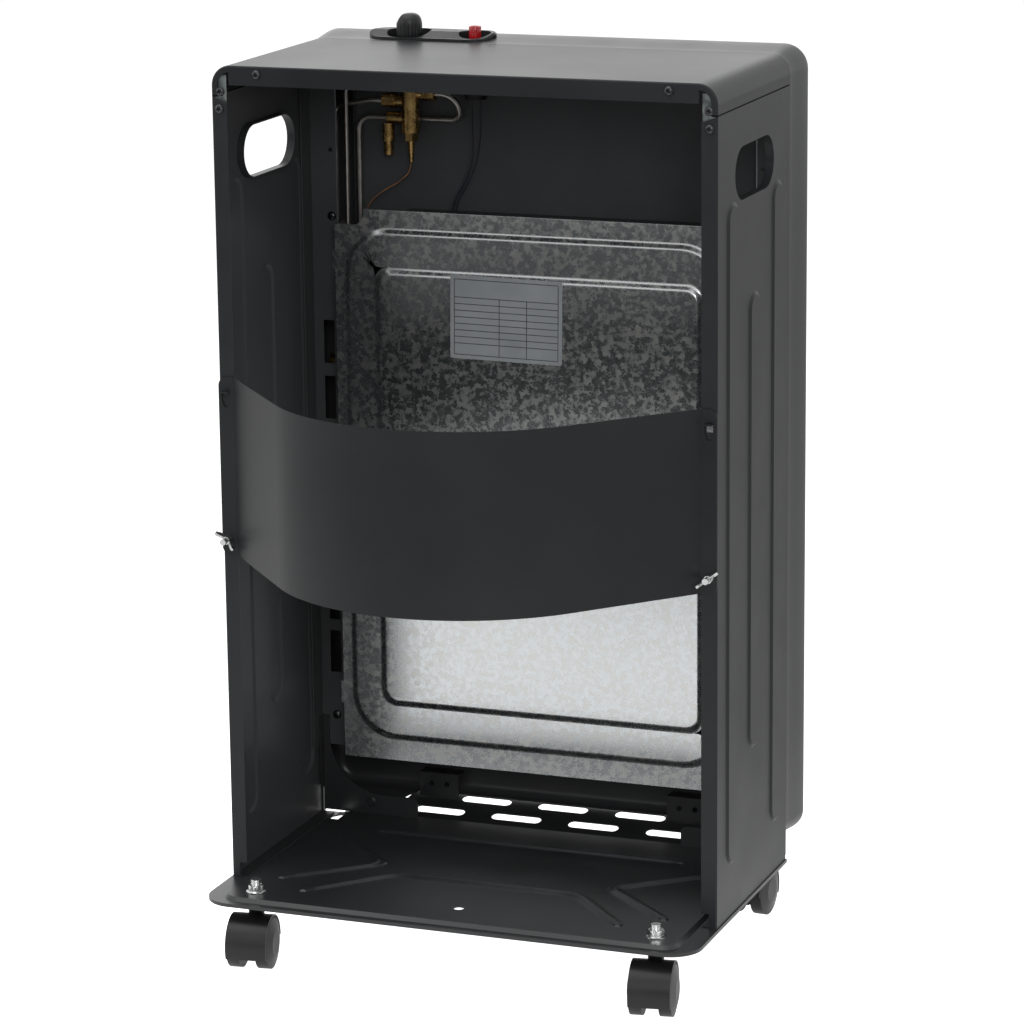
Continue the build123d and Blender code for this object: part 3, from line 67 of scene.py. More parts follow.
# ---- The studio -------------------------------------------------------------------------------------------
# A white room and floor under four soft lamps: overhead, at the left, behind the heater and by the viewpoint.
# The white shows to the eye and in mirrors, while its light on the object stays at a plain level. Behind the
# viewpoint lie a dark floor and a low dark wall, which are there for the bright metal to mirror.
room_light = 0.55
wall_heights = (0.08, 0.32)
wall_sector = (0.70, 0.35)
wall_strength = 0.07
floor_half = 6.0
floor_colour = (0.78, 0.78, 0.78)
floor_roughness = 0.9
dark_floor = (0.05, 0.05, 0.052)
dark_reach = (1.35, 2.1)
white_centre = (0.20, 0.45, 0.0)
white_reach = (0.75, 1.25)
white_lift = 0.6
camera_lift = 0.65


def reckoned(tree, operation, *values, vector=False):
    """One step of arithmetic on numbers and sockets."""
    step = tree.nodes.new("ShaderNodeVectorMath" if vector else "ShaderNodeMath")
    step.operation = operation
    for socket, value in zip(step.inputs, values):
        if isinstance(value, bpy.types.NodeSocket):
            tree.links.new(value, socket)
        else:
            socket.default_value = value
    return step.outputs["Vector" if vector and operation != "LENGTH" else "Value"]


def mapped(tree, value, start=0.0, end=1.0, low=0.0, high=1.0, soft=False):
    """Carries a value over from one range to another, and eases it at both ends where it is soft."""
    ramp = tree.nodes.new("ShaderNodeMapRange")
    ramp.interpolation_type = "SMOOTHSTEP" if soft else "LINEAR"
    for name, level in (("From Min", start), ("From Max", end), ("To Min", low), ("To Max", high)):
        ramp.inputs[name].default_value = level
    tree.links.new(value, ramp.inputs["Value"])
    return ramp.outputs["Result"]


def tinted(tree, value, start, end, first, last):
    """Runs from one colour to another while the value runs between two levels."""
    ramp = tree.nodes.new("ShaderNodeValToRGB")
    for element, level, colour in zip(ramp.color_ramp.elements, (start, end), (first, last)):
        element.position = level
        element.color = (*colour, 1.0)
    tree.links.new(value, ramp.inputs["Fac"])
    return ramp.outputs["Color"]


def along(tree, axis):
    """How far a point lies along one axis; in the room's own light it is the direction."""
    place = tree.nodes.new("ShaderNodeTexCoord")
    axes = tree.nodes.new("ShaderNodeSeparateXYZ")
    tree.links.new(place.outputs["Object"], axes.inputs["Vector"])
    return axes.outputs[axis]


def shown_to_eye(tree):
    """1 where a camera, mirror or glass ray looks, 0 where light is gathered."""
    ray = tree.nodes.new("ShaderNodeLightPath")
    looking = reckoned(tree, "MAXIMUM", ray.outputs["Is Camera Ray"], ray.outputs["Is Glossy Ray"])
    return reckoned(tree, "MAXIMUM", looking, ray.outputs["Is Transmission Ray"])


bpy.context.scene.view_settings.view_transform = "Standard"
world = bpy.data.worlds.new("white_room")
bpy.context.scene.world = world
world.use_nodes = True
tree = world.node_tree
backdrop = tree.nodes["Background"]
backdrop.inputs["Color"].default_value = (1, 1, 1, 1)
ray = tree.nodes.new("ShaderNodeLightPath")
over_wall = mapped(tree, along(tree, "Z"), *wall_heights, soft=True)
beside_wall = mapped(tree, along(tree, "Y"), *wall_sector, soft=True)
open_side = reckoned(tree, "MAXIMUM", over_wall, beside_wall)
unmirrored = reckoned(tree, "SUBTRACT", 1.0, ray.outputs["Is Glossy Ray"])
wall = mapped(tree, reckoned(tree, "MAXIMUM", open_side, unmirrored), low=wall_strength)
strength = mapped(tree, shown_to_eye(tree), low=room_light)
tree.links.new(reckoned(tree, "MULTIPLY", strength, wall), backdrop.inputs["Strength"])

floor_mesh = bpy.data.meshes.new("studio_floor")
bm = bmesh.new()
bmesh.ops.create_grid(bm, x_segments=1, y_segments=1, size=floor_half)
bm.to_mesh(floor_mesh)
bm.free()
studio_floor = bpy.data.objects.new("studio_floor", floor_mesh)
bpy.context.scene.collection.objects.link(studio_floor)

floor_white = bpy.data.materials.new("studio_floor_white")
floor_white.use_nodes = True
tree = floor_white.node_tree
paint = tree.nodes["Principled BSDF"]
paint.inputs["Roughness"].default_value = floor_roughness
dark = mapped(tree, along(tree, "Y"), *dark_reach)
tree.links.new(tinted(tree, dark, 0.0, 1.0, floor_colour, dark_floor), paint.inputs["Base Color"])
place = tree.nodes.new("ShaderNodeTexCoord")
offset = reckoned(tree, "SUBTRACT", place.outputs["Object"], white_centre, vector=True)
distance = reckoned(tree, "LENGTH", offset, vector=True)
near = mapped(tree, distance, *white_reach, low=white_lift, high=0.0)
to_camera = mapped(tree, dark, low=camera_lift)
ray = tree.nodes.new("ShaderNodeLightPath")
seen = reckoned(tree, "MULTIPLY_ADD", ray.outputs["Is Camera Ray"], to_camera, near)
lift = tree.nodes.new("ShaderNodeEmission")
lift.inputs["Color"].default_value = (1, 1, 1, 1)
tree.links.new(reckoned(tree, "MULTIPLY", shown_to_eye(tree), seen), lift.inputs["Strength"])
both = tree.nodes.new("ShaderNodeAddShader")
tree.links.new(paint.outputs[0], both.inputs[0])
tree.links.new(lift.outputs[0], both.inputs[1])
tree.links.new(both.outputs[0], tree.nodes["Material Output"].inputs["Surface"])
floor_mesh.materials.append(floor_white)


def soft_lamp(name, place, aim, size, power):
    """A square area lamp at a place, turned towards a point."""
    lamp = bpy.data.lights.new(name, "AREA")
    lamp.size = size
    lamp.energy = power
    holder = bpy.data.objects.new(name, lamp)
    way = (Vector(aim) - Vector(place)).to_track_quat("-Z", "Y")
    holder.matrix_world = Matrix.Translation(place) @ way.to_matrix().to_4x4()
    bpy.context.scene.collection.objects.link(holder)


soft_lamp("overhead_lamp", (0.4, 0.3, 2.6), (0.0, 0.0, 0.3), 2.2, 26.0)
soft_lamp("left_lamp", (2.4, 1.6, 1.3), (0.0, 0.0, 0.4), 1.6, 14.0)
soft_lamp("back_lamp", (0.9, -2.4, 1.45), (0.0, 0.0, 0.7), 1.8, 7.0)
soft_lamp("rear_lamp", (-1.5, 3.3, 1.7), (0.0, 0.0, 0.4), 1.0, 32.0)

# ---- Base pan ---------------------------------------------------------------------------------------------
# The stamped floor of the cabinet, of 1 mm sheet steel in black enamel, with punched vents and low pressed
# beads. The bottle's foot ring slides over it, so the enamel is smooth, with a soft uneven gloss.
cloud_levels = (0.3, 0.7)
merge_reach = 0.000005


def clouded(tree, scale, detail, roughness=0.5):
    """A noise on the object's own coordinates."""
    place = tree.nodes.new("ShaderNodeTexCoord")
    noise = tree.nodes.new("ShaderNodeTexNoise")
    for name, level in (("Scale", scale), ("Detail", detail), ("Roughness", roughness)):
        noise.inputs[name].default_value = level
    tree.links.new(place.outputs["Object"], noise.inputs["Vector"])
    return noise


def embossed(tree, height, relief):
    """Raises the surface in fine relief by a pattern."""
    bump = tree.nodes.new("ShaderNodeBump")
    bump.inputs["Distance"].default_value = relief
    tree.links.new(height, bump.inputs["Height"])
    tree.links.new(bump.outputs["Normal"], tree.nodes["Principled BSDF"].inputs["Normal"])


def finish(name, colour, shade, gloss, cloud, grain, relief, metallic=0.0, specular=0.5):
    """A surface whose colour and gloss drift in clouds, with a fine raised grain; the sizes are in metres."""
    coat = bpy.data.materials.new(name)
    coat.use_nodes = True
    tree = coat.node_tree
    shader = tree.nodes["Principled BSDF"]
    shader.inputs["Metallic"].default_value = metallic
    shader.inputs["Specular IOR Level"].default_value = specular
    drift = clouded(tree, 1.0 / cloud, detail=5.0).outputs["Fac"]
    speck = clouded(tree, 1.0 / grain, detail=2.0).outputs["Fac"]
    tree.links.new(tinted(tree, drift, *cloud_levels, shade, colour), shader.inputs["Base Color"])
    tree.links.new(mapped(tree, drift, *cloud_levels, *gloss), shader.inputs["Roughness"])
    embossed(tree, speck, relief)
    return coat


def dress(material, *names):
    """Gives one finish to these pieces of the cabinet as they come from the press or the mould."""
    for name in names:
        mesh = nodes[name].data
        mesh.materials.clear()
        mesh.materials.append(material)


black_enamel = finish(
    "black_enamel", (0.021, 0.022, 0.024), (0.015, 0.016, 0.017), (0.30, 0.40), 0.09, 0.0012, 0.00001
)
dress(black_enamel, "base_pan", "foot_gusset_left", "foot_gusset_right")


def made(bm, name, material, body, slot, *stood_for, smooth=35.0, sheet=0.0):
    """Turns the finished mesh into a piece that rides on its body; a sheet's thickness goes inwards."""
    bmesh.ops.remove_doubles(bm, verts=bm.verts, dist=merge_reach)
    bmesh.ops.recalc_face_normals(bm, faces=bm.faces)
    mesh = bpy.data.meshes.new(name)
    bm.to_mesh(mesh)
    bm.free()
    mesh.shade_smooth()
    mesh.set_sharp_from_angle(angle=math.radians(smooth))
    mesh.materials.append(material)
    thing = bpy.data.objects.new(name, mesh)
    bpy.context.scene.collection.objects.link(thing)
    if sheet:
        wall = thing.modifiers.new("wall", "SOLIDIFY")
        wall.thickness = sheet
        wall.offset = -1.0
    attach(thing, body)
    if stood_for:
        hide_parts(*stood_for)


bead_level = 0.0600
bead_clearance = 0.00001
bead_half = 0.0068
bead_rise = 0.0021
bead_fade = 0.010
bead_steps = 8
corner_reach = 0.016
corner_steps = 8
path_step = 0.003
bead_lines = (
    ((0.136, 0.0805), (0.080, 0.0185), (-0.080, 0.0185), (-0.136, 0.0805)),
    ((0.166, 0.0555), (0.100, -0.0045), (0.166, -0.0615)),
    ((-0.166, 0.0555), (-0.100, -0.0045), (-0.166, -0.0615)),
    ((0.136, -0.0865), (-0.136, -0.0865)),
)


def rounded_path(points, reach):
    """The same line with its corners rounded off, as closely spaced points."""
    path = [Vector(points[0])]
    for before, corner, after in zip(points, points[1:], points[2:]):
        corner = Vector(corner)
        start = corner + (Vector(before) - corner).normalized() * reach
        end = corner + (Vector(after) - corner).normalized() * reach
        for step in range(corner_steps + 1):
            t = step / corner_steps
            path.append(start * (1 - t) ** 2 + corner * 2 * t * (1 - t) + end * t**2)
    path.append(Vector(points[-1]))
    even = [path[0]]
    for point in path[1:]:
        count = max(1, round((point - even[-1]).length / path_step))
        start = even[-1]
        even += [start.lerp(point, step / count) for step in range(1, count + 1)]
    return even


bm = bmesh.new()
for line in bead_lines:
    path = rounded_path(line, corner_reach)
    run = [0.0]
    for start, end in zip(path, path[1:]):
        run.append(run[-1] + (end - start).length)
    rows = []
    for index, point in enumerate(path):
        ahead = path[min(index + 1, len(path) - 1)] - path[max(index - 1, 0)]
        across = Vector((-ahead.y, ahead.x)).normalized()
        fade = min(1.0, min(run[index], run[-1] - run[index]) / bead_fade)
        fade = fade * fade * (3 - 2 * fade)
        row = []
        for step in range(-bead_steps, bead_steps + 1):
            off = step / bead_steps
            rise = bead_rise * fade * (0.5 + 0.5 * math.cos(math.pi * off))
            spot = point + across * off * bead_half
            row.append(bm.verts.new((spot.x, spot.y, bead_level + bead_clearance + rise)))
        rows.append(row)
    for row, following in zip(rows, rows[1:]):
        for a, b, c, d in zip(row, row[1:], following[1:], following):
            bm.faces.new((a, d, c, b))
made(bm, "pan_beads", black_enamel, "cabinet", "black_enamel", smooth=60.0)

# ---- Casters ----------------------------------------------------------------------------------------------
# Four swivelling twin-wheel casters of black nylon on steel stems, each held in the pan by a zinc flange nut.
# The hoods and wheels are moulded, with a fine even grain and a soft shine.
nylon = finish(
    "black_nylon", (0.013, 0.013, 0.013), (0.009, 0.009, 0.009), (0.36, 0.44), 0.02, 0.0006, 0.00001,
    specular=0.35,
)
steel = finish(
    "bright_steel", (0.42, 0.40, 0.38), (0.30, 0.29, 0.27), (0.38, 0.48), 0.01, 0.0004, 0.000002, metallic=1.0
)
zinc = finish(
    "bright_zinc", (0.70, 0.71, 0.70), (0.54, 0.55, 0.55), (0.18, 0.28), 0.006, 0.0005, 0.000002, metallic=1.0
)
thread_pitch = 0.0008
thread_relief = 0.00012
crest_spacing = math.tau / 20.0


def threaded(name, axis):
    """Zinc-plated steel with a rolled thread along one axis."""
    rolled = zinc.copy()
    rolled.name = name
    tree = rolled.node_tree
    place = tree.nodes.new("ShaderNodeTexCoord")
    ridges = tree.nodes.new("ShaderNodeTexWave")
    ridges.bands_direction = axis
    ridges.inputs["Scale"].default_value = crest_spacing / thread_pitch
    tree.links.new(place.outputs["Object"], ridges.inputs["Vector"])
    embossed(tree, ridges.outputs["Fac"], thread_relief)
    return rolled


def turned(bm, profile, steps):
    """Turns a profile of radius and height about the upright axis, closed at the poles."""
    before = set(bm.verts)
    row = [bm.verts.new((radius, 0.0, height)) for radius, height in profile]
    line = [bm.edges.new(pair) for pair in zip(row, row[1:])]
    bmesh.ops.spin(
        bm, geom=row + line, cent=(0, 0, 0), axis=(0, 0, 1), angle=math.tau, steps=steps, use_merge=True
    )
    bmesh.ops.remove_doubles(bm, verts=[v for v in bm.verts if v not in before], dist=merge_reach)
    return [v for v in bm.verts if v not in before]


def hexagonal(verts, flats, low, high):
    """Mills six flats on a turned blank between two heights, which leaves its chamfers round."""
    for vertex in verts:
        if low < vertex.co.z < high:
            angle = math.atan2(vertex.co.y, vertex.co.x)
            off_flat = (angle + math.pi / 6) % (math.pi / 3) - math.pi / 6
            reach = math.hypot(vertex.co.x, vertex.co.y)
            limit = flats / 2 / math.cos(off_flat)
            if reach > limit:
                vertex.co.x *= limit / reach
                vertex.co.y *= limit / reach


for corner in ("rear_left", "rear_right", "front_left", "front_right"):
    for part in ("caster_hood_", "caster_wheel_inner_", "caster_wheel_outer_", "caster_axle_"):
        dress(nylon, part + corner)
dress(threaded("zinc_stem_thread", "Z"), "caster_studs")
stems = ((0.172, 0.0945), (-0.172, 0.0945), (0.172, -0.1415), (-0.172, -0.1415))
nut_seat = 0.0600
nut_flats = 0.0120
nut_milled = (0.0015, 0.0059)
nut_steps = 72
first_turn = 0.35
further_turn = 0.5
nut_profile = (
    (0.00415, 0.0), (0.0080, 0.0), (0.0082, 0.0003), (0.0081, 0.0008), (0.0072, 0.0013), (0.0067, 0.0017),
    (0.00693, 0.0019), (0.00693, 0.0054), (0.0061, 0.0060), (0.0047, 0.0060), (0.00415, 0.0056),
    (0.00415, 0.0),
)
bm = bmesh.new()
for count, (x, y) in enumerate(stems):
    blank = turned(bm, nut_profile, steps=nut_steps)
    hexagonal(blank, nut_flats, *nut_milled)
    wrenched = Matrix.Rotation(first_turn + further_turn * count, 3, "Z")
    bmesh.ops.rotate(bm, verts=blank, cent=(0, 0, 0), matrix=wrenched)
    bmesh.ops.translate(bm, verts=blank, vec=(x, y, nut_seat))
made(bm, "flange_nuts", zinc, "cabinet", "bright_zinc", "caster_nuts", smooth=25.0)

# ---- Side panels and uprights -----------------------------------------------------------------------------
# Two pressed sides of 1 mm sheet steel with ribs and a curled hand hole, and the slotted uprights inside them,
# all in satin charcoal powder coat but for the uprights' inner edge of bare zinc. The uprights and the sides'
# inner faces are set lighter, in place of the light that reaches into the real cabinet.
coat_grain = 0.0009
coat_relief = 0.00002


def powder_coat(name, colour, shade, gloss, cloud=0.05, specular=0.16):
    """The finish of the coated sheets, which share one grain and mirror only at a glance."""
    return finish(name, colour, shade, gloss, cloud, coat_grain, coat_relief, specular=specular)


def blended(tree, mask, low=None, high=None):
    """Mixes two colours by a mask, where one that isn't given is the finish's own."""
    mix = tree.nodes.new("ShaderNodeMix")
    mix.data_type = "RGBA"
    tree.links.new(mask, mix.inputs["Factor"])
    for side, colour in (("A", low), ("B", high)):
        if colour:
            mix.inputs[side].default_value = (*colour, 1.0)
        else:
            tree.links.new(tree.nodes["Color Ramp"].outputs["Color"], mix.inputs[side])
    tree.links.new(mix.outputs["Result"], tree.nodes["Principled BSDF"].inputs["Base Color"])


charcoal = powder_coat(
    "charcoal_powder_coat", (0.0250, 0.0260, 0.0275), (0.0160, 0.0168, 0.0182), (0.34, 0.40), cloud=0.16
)
facing_inward = -0.02
inner_end = 0.1180
inner_painted_light = (0.060, 0.062, 0.065)
side_coat = powder_coat(
    "side_charcoal", (0.0250, 0.0260, 0.0275), (0.0215, 0.0225, 0.0240), (0.34, 0.40)
)
tree = side_coat.node_tree
facing = tree.nodes.new("ShaderNodeNewGeometry")
faces_to = tree.nodes.new("ShaderNodeSeparateXYZ")
tree.links.new(facing.outputs["Normal"], faces_to.inputs["Vector"])
outwardness = reckoned(tree, "MULTIPLY", along(tree, "X"), faces_to.outputs["X"])
within = reckoned(tree, "LESS_THAN", outwardness, facing_inward)
ahead = reckoned(tree, "LESS_THAN", along(tree, "Y"), inner_end)
# The sides' inner faces take a lighter grey than their outside: painted light for the light that reaches into
# the cabinet.
blended(tree, reckoned(tree, "MULTIPLY", within, ahead), high=inner_painted_light)
dress(side_coat, "side_panel_left", "side_panel_right")

bare_edge = 0.1837
bare_zinc = (0.30, 0.32, 0.33)
upright_coat = powder_coat("upright_coat", (0.052, 0.054, 0.056), (0.046, 0.048, 0.050), (0.34, 0.42))
tree = upright_coat.node_tree
bare = reckoned(tree, "LESS_THAN", reckoned(tree, "ABSOLUTE", along(tree, "X")), bare_edge)
blended(tree, bare, high=bare_zinc)
tree.links.new(bare, tree.nodes["Principled BSDF"].inputs["Metallic"])
dress(upright_coat, "upright_left", "upright_right")

# ---- Top panel --------------------------------------------------------------------------------------------
# An inverted trough of charcoal-coated sheet with round shoulders. It stands on the side panels, and dull zinc
# gussets tie its rear shoulders to them. The hair's gap at that seam is painted shade: a black band along its
# lower edge.
seam_height = 0.705
painted_gap_band = 0.0012
painted_gap_shade = (0.001, 0.001, 0.001)
top_coat = charcoal.copy()
top_coat.name = "charcoal_with_painted_seam_shade"
tree = top_coat.node_tree
# The lowest strip of the top's coat is painted black and dull, as painted shade in the seam's gap.
coated = reckoned(tree, "GREATER_THAN", along(tree, "Z"), seam_height + painted_gap_band)
blended(tree, coated, low=painted_gap_shade)
dull = tree.nodes.new("ShaderNodeMix")
dull.inputs["A"].default_value = 1.0
tree.links.new(coated, dull.inputs["Factor"])
tree.links.new(tree.nodes["Map Range"].outputs["Result"], dull.inputs["B"])
tree.links.new(dull.outputs["Result"], tree.nodes["Principled BSDF"].inputs["Roughness"])
dull_zinc = finish(
    "dull_zinc", (0.30, 0.33, 0.33), (0.16, 0.18, 0.18), (0.30, 0.45), 0.008, 0.0006, 0.000005, metallic=1.0
)
dress(top_coat, "top_panel")
dress(dull_zinc, "corner_gusset_left", "corner_gusset_right")

# ---- Front frame ------------------------------------------------------------------------------------------
# The pressed ring round the radiant front, drawn out in one gentle swell from the seam and rolled over into
# its face, with a returned edge round the opening. Charcoal powder coat over 1 mm sheet.
frame_half = 0.210
frame_top = 0.730
frame_low = 0.076
frame_seam = -0.1315
swell = (
    (0.0, -0.0005), (0.00025, -0.00015), (0.0008, 0.0), (0.004, 0.0001), (0.008, 0.0005), (0.013, 0.0011),
    (0.019, 0.0019), (0.025, 0.0027), (0.031, 0.0034), (0.0355, 0.0038), (0.038, 0.0039),
)
roll_radius = 0.0099
roll_steps = 8
low_corner = 0.013
high_corner = 0.016
frame_sheet = 0.001
opening = (-0.182, 0.182, 0.102, 0.697)
opening_radius = 0.014
mouth = ((0.048, 0.002), (0.0478, 0.0011), (0.0473, 0.0004), (0.0465, 0.0), (0.036, 0.0))
floor_line = 0.080
floor_front = -0.1775
floor_window = 0.1325
floor_window_end = -0.1685
crown_line = 0.725
crown_half = 0.2
wells = ((0.125, 0.0200), (0.0667, 0.0150))
well_line = -0.1535
well_sides = 16
well_margin = 0.003


def faces_of(verts):
    """The faces that meet at these corners, each once and in a fixed order."""
    return list(dict.fromkeys(face for vert in verts for face in vert.link_faces))


def whole(faces):
    """These faces with their edges and corners, each once and in a fixed order."""
    edges = [edge for face in faces for edge in face.edges]
    verts = [vert for face in faces for vert in face.verts]
    return list(dict.fromkeys([*faces, *edges, *verts]))


def rounded_loop(bm, left, right, low, high, y, low_radius, high_radius, steps=10):
    """A rectangle with round corners, standing across the heater, as one closed row of edges."""
    before = set(bm.edges)
    corners = [bm.verts.new((x, y, z)) for x, z in ((left, low), (right, low), (right, high), (left, high))]
    bm.faces.new(corners)
    for pair, radius in ((corners[:2], low_radius), (corners[2:], high_radius)):
        bmesh.ops.bevel(
            bm, geom=pair, offset=radius, offset_type="OFFSET", affect="VERTICES", segments=steps,
            profile=0.5, material=-1,
        )
    edges = [edge for edge in bm.edges if edge not in before]
    for face in faces_of(vert for edge in edges for vert in edge.verts):
        bm.faces.remove(face)
    return edges


def joined(bm, loops):
    """Skins the space between each closed row of edges and the next."""
    for first, second in zip(loops, loops[1:]):
        bmesh.ops.bridge_loops(bm, edges=first + second)


def cut_away(bm, around, cuts, inside):
    """Cuts the faces near a place by planes, and takes out those that lie inside."""
    for point, normal in cuts:
        near = [face for face in bm.faces if around(face.calc_center_median())]
        bmesh.ops.bisect_plane(bm, geom=whole(near), plane_co=point, plane_no=normal)
    gone = [face for face in bm.faces if inside(face.calc_center_median())]
    bmesh.ops.delete(bm, geom=gone, context="FACES")


bm = bmesh.new()
section = list(swell)
for step in range(1, roll_steps + 1):
    angle = math.pi / 2 * step / roll_steps
    section.append(
        (swell[-1][0] + roll_radius * math.sin(angle), swell[-1][1] - roll_radius * (1 - math.cos(angle)))
    )
loops = [
    rounded_loop(
        bm, -frame_half - out, frame_half + out, frame_low - out, frame_top + out, frame_seam - depth,
        low_corner + out, high_corner + out,
    )
    for depth, out in section
]
for depth, out in mouth:
    left, right, low, high = opening
    loops.append(
        rounded_loop(
            bm, left - out, right + out, low - out, high + out, frame_seam - depth, opening_radius + out,
            opening_radius + out,
        )
    )
joined(bm, loops)
cut_away(
    bm,
    lambda c: c.z < floor_line and c.y > floor_front,
    (
        ((floor_window, 0, 0), (1, 0, 0)),
        ((-floor_window, 0, 0), (1, 0, 0)),
        ((0, floor_window_end, 0), (0, 1, 0)),
    ),
    lambda c: c.z < floor_line and abs(c.x) < floor_window and c.y > floor_window_end,
)
for x, radius in wells:
    reach = radius + well_margin
    cut_away(
        bm,
        lambda c: c.z > crown_line and abs(c.x) < crown_half,
        [((x - reach, 0, 0), (1, 0, 0)), ((x + reach, 0, 0), (1, 0, 0))],
        lambda c: False,
    )
    angles = [math.tau * (step + 0.5) / well_sides for step in range(well_sides // 2)]
    cut_away(
        bm,
        lambda c: c.z > crown_line and abs(c.x - x) < reach,
        [
            (
                (x + way * radius * math.cos(a), well_line + way * radius * math.sin(a), 0),
                (math.cos(a), math.sin(a), 0),
            )
            for way in (1, -1)
            for a in angles
        ],
        lambda c: c.z > crown_line and math.hypot(c.x - x, c.y - well_line) < radius,
    )
ring_coat = powder_coat(
    "ring_charcoal", (0.034, 0.035, 0.037), (0.029, 0.030, 0.032), (0.30, 0.36), specular=0.35
)
made(bm, "front_ring", ring_coat, "cabinet", "charcoal_paint", "front_frame", sheet=frame_sheet)
dress(charcoal, "lower_front_panel")

# ---- Heat shield ------------------------------------------------------------------------------------------
# A plate of hot-dip galvanised sheet between the bottle and the burner, pressed out in two low steps.
# Its zinc has frozen in feathery spangles, each with its own gloss, and it stays uncoated.
spangle_size = 0.0042
spangle_bend = (0.007, 0.007, 0.007)
spangle_softness = 0.35
spangle_share = 0.30
spangle_levels = (0.60, 0.86)
spangle_colours = ((0.50, 0.52, 0.53), (0.58, 0.58, 0.56))
fleck_scale = 210.0
gloss_levels = (0.48, 0.86)
gloss_range = (0.225, 0.325)
feather_relief = 0.00001
galvanised = bpy.data.materials.new("galvanised_spangle")
galvanised.use_nodes = True
tree = galvanised.node_tree
shader = tree.nodes["Principled BSDF"]
shader.inputs["Metallic"].default_value = 1.0
place = tree.nodes.new("ShaderNodeTexCoord")
feather = clouded(tree, 2.0 / spangle_size, detail=3.0)
bent = reckoned(
    tree, "MULTIPLY_ADD", feather.outputs["Color"], spangle_bend, place.outputs["Object"], vector=True
)
crystal = tree.nodes.new("ShaderNodeTexVoronoi")
crystal.feature = "SMOOTH_F1"
crystal.inputs["Smoothness"].default_value = spangle_softness
crystal.inputs["Scale"].default_value = 1.0 / spangle_size
tree.links.new(bent, crystal.inputs["Vector"])
cast = tree.nodes.new("ShaderNodeSeparateColor")
tree.links.new(crystal.outputs["Color"], cast.inputs["Color"])
fleck = clouded(tree, fleck_scale, detail=4.0, roughness=0.6)
both = reckoned(tree, "MULTIPLY_ADD", cast.outputs["Red"], spangle_share, fleck.outputs["Fac"])
tree.links.new(tinted(tree, both, *spangle_levels, *spangle_colours), shader.inputs["Base Color"])
tree.links.new(mapped(tree, both, *gloss_levels, *gloss_range, soft=True), shader.inputs["Roughness"])
embossed(tree, feather.outputs["Fac"], feather_relief)
shield_half = 0.176
shield_low = 0.118
shield_high = 0.5917
shield_face = -0.1065
notch = (0.150, 0.5792)
notch_radius = 0.009
notch_steps = 8
press_line = (
    (-0.0012, 0.0), (-0.0003, 0.0001), (0.0005, 0.0004), (0.0013, 0.0009), (0.0023, 0.0016), (0.0033, 0.0023),
    (0.0040, 0.0027), (0.0047, 0.0029), (0.0056, 0.0030),
)
rolled_edge = ((0.0005, 0.0001), (0.0007, 0.0004), (0.0008, 0.0009))
step_height = 0.003
outer_step = (-0.167, 0.167, 0.137, 0.577, 0.038)
inner_step = (-0.147, 0.139, 0.168, 0.544, 0.013)
flange_end = -0.1302
tab_reach = 0.1885
tab_overlap = 0.0005
tab_half_height = 0.010
tab_levels = (0.167, 0.35525, 0.5435)
level_match = 1e-6


def closed_over(bm, edges):
    """One flat face across a closed row of edges."""
    bmesh.ops.contextual_create(bm, geom=edges)


def corners_in(geometry):
    """The corners among what an extrusion gives back."""
    return [item for item in geometry if isinstance(item, bmesh.types.BMVert)]


def edges_in(geometry):
    """The edges among what an extrusion gives back."""
    return [item for item in geometry if isinstance(item, bmesh.types.BMEdge)]


bm = bmesh.new()
corner_x, corner_z = notch
outline = [
    (-shield_half, shield_low), (shield_half, shield_low), (shield_half, corner_z), (corner_x, corner_z),
    (corner_x, shield_high), (-corner_x, shield_high), (-corner_x, corner_z), (-shield_half, corner_z),
]
rim = [bm.verts.new((x, shield_face, z)) for x, z in outline]
bm.faces.new(rim)
bmesh.ops.bevel(
    bm, geom=[rim[3], rim[6]], offset=notch_radius, offset_type="OFFSET", affect="VERTICES",
    segments=notch_steps, profile=0.5, material=-1,
)
border = list(bm.edges)
for face in list(bm.faces):
    bm.faces.remove(face)
steps = []
for level, (left, right, low, high, radius) in enumerate((outer_step, inner_step)):
    for inset, rise in press_line:
        steps.append(
            rounded_loop(
                bm, left + inset, right - inset, low + inset, high - inset,
                shield_face + level * step_height + rise, radius - inset / 2, radius - inset / 2,
            )
        )
joined(bm, steps)
closed_over(bm, steps[-1])
bmesh.ops.triangle_fill(bm, edges=border + steps[0], use_beauty=True)
edge = [e for e in border if all(abs(v.co.z - shield_high) < level_match for v in e.verts)]
rise_before, back_before = 0.0, 0.0
for rise, back in rolled_edge:
    drawn = bmesh.ops.extrude_edge_only(bm, edges=edge)["geom"]
    for vertex in corners_in(drawn):
        vertex.co.z += rise - rise_before
        vertex.co.y -= back - back_before
    edge = edges_in(drawn)
    rise_before, back_before = rise, back
for side in (-1, 1):
    edge = [e for e in border if all(abs(v.co.x - side * shield_half) < level_match for v in e.verts)]
    drawn = bmesh.ops.extrude_edge_only(bm, edges=edge)["geom"]
    for vertex in corners_in(drawn):
        vertex.co.y = flange_end
    root, tip = side * (shield_half - tab_overlap), side * tab_reach
    for level in tab_levels:
        low, high = level - tab_half_height, level + tab_half_height
        tab = ((root, low), (tip, low), (tip, high), (root, high))
        bm.faces.new([bm.verts.new((x, flange_end, z)) for x, z in tab])
made(bm, "pressed_shield", galvanised, "cabinet", "galvanised_sheet", "heat_shield")
# The shield's brackets are galvanised, but they are dressed in the black enamel as painted shade, for the
# shade they hang in.
dress(black_enamel, "shield_bracket_left", "shield_bracket_right")

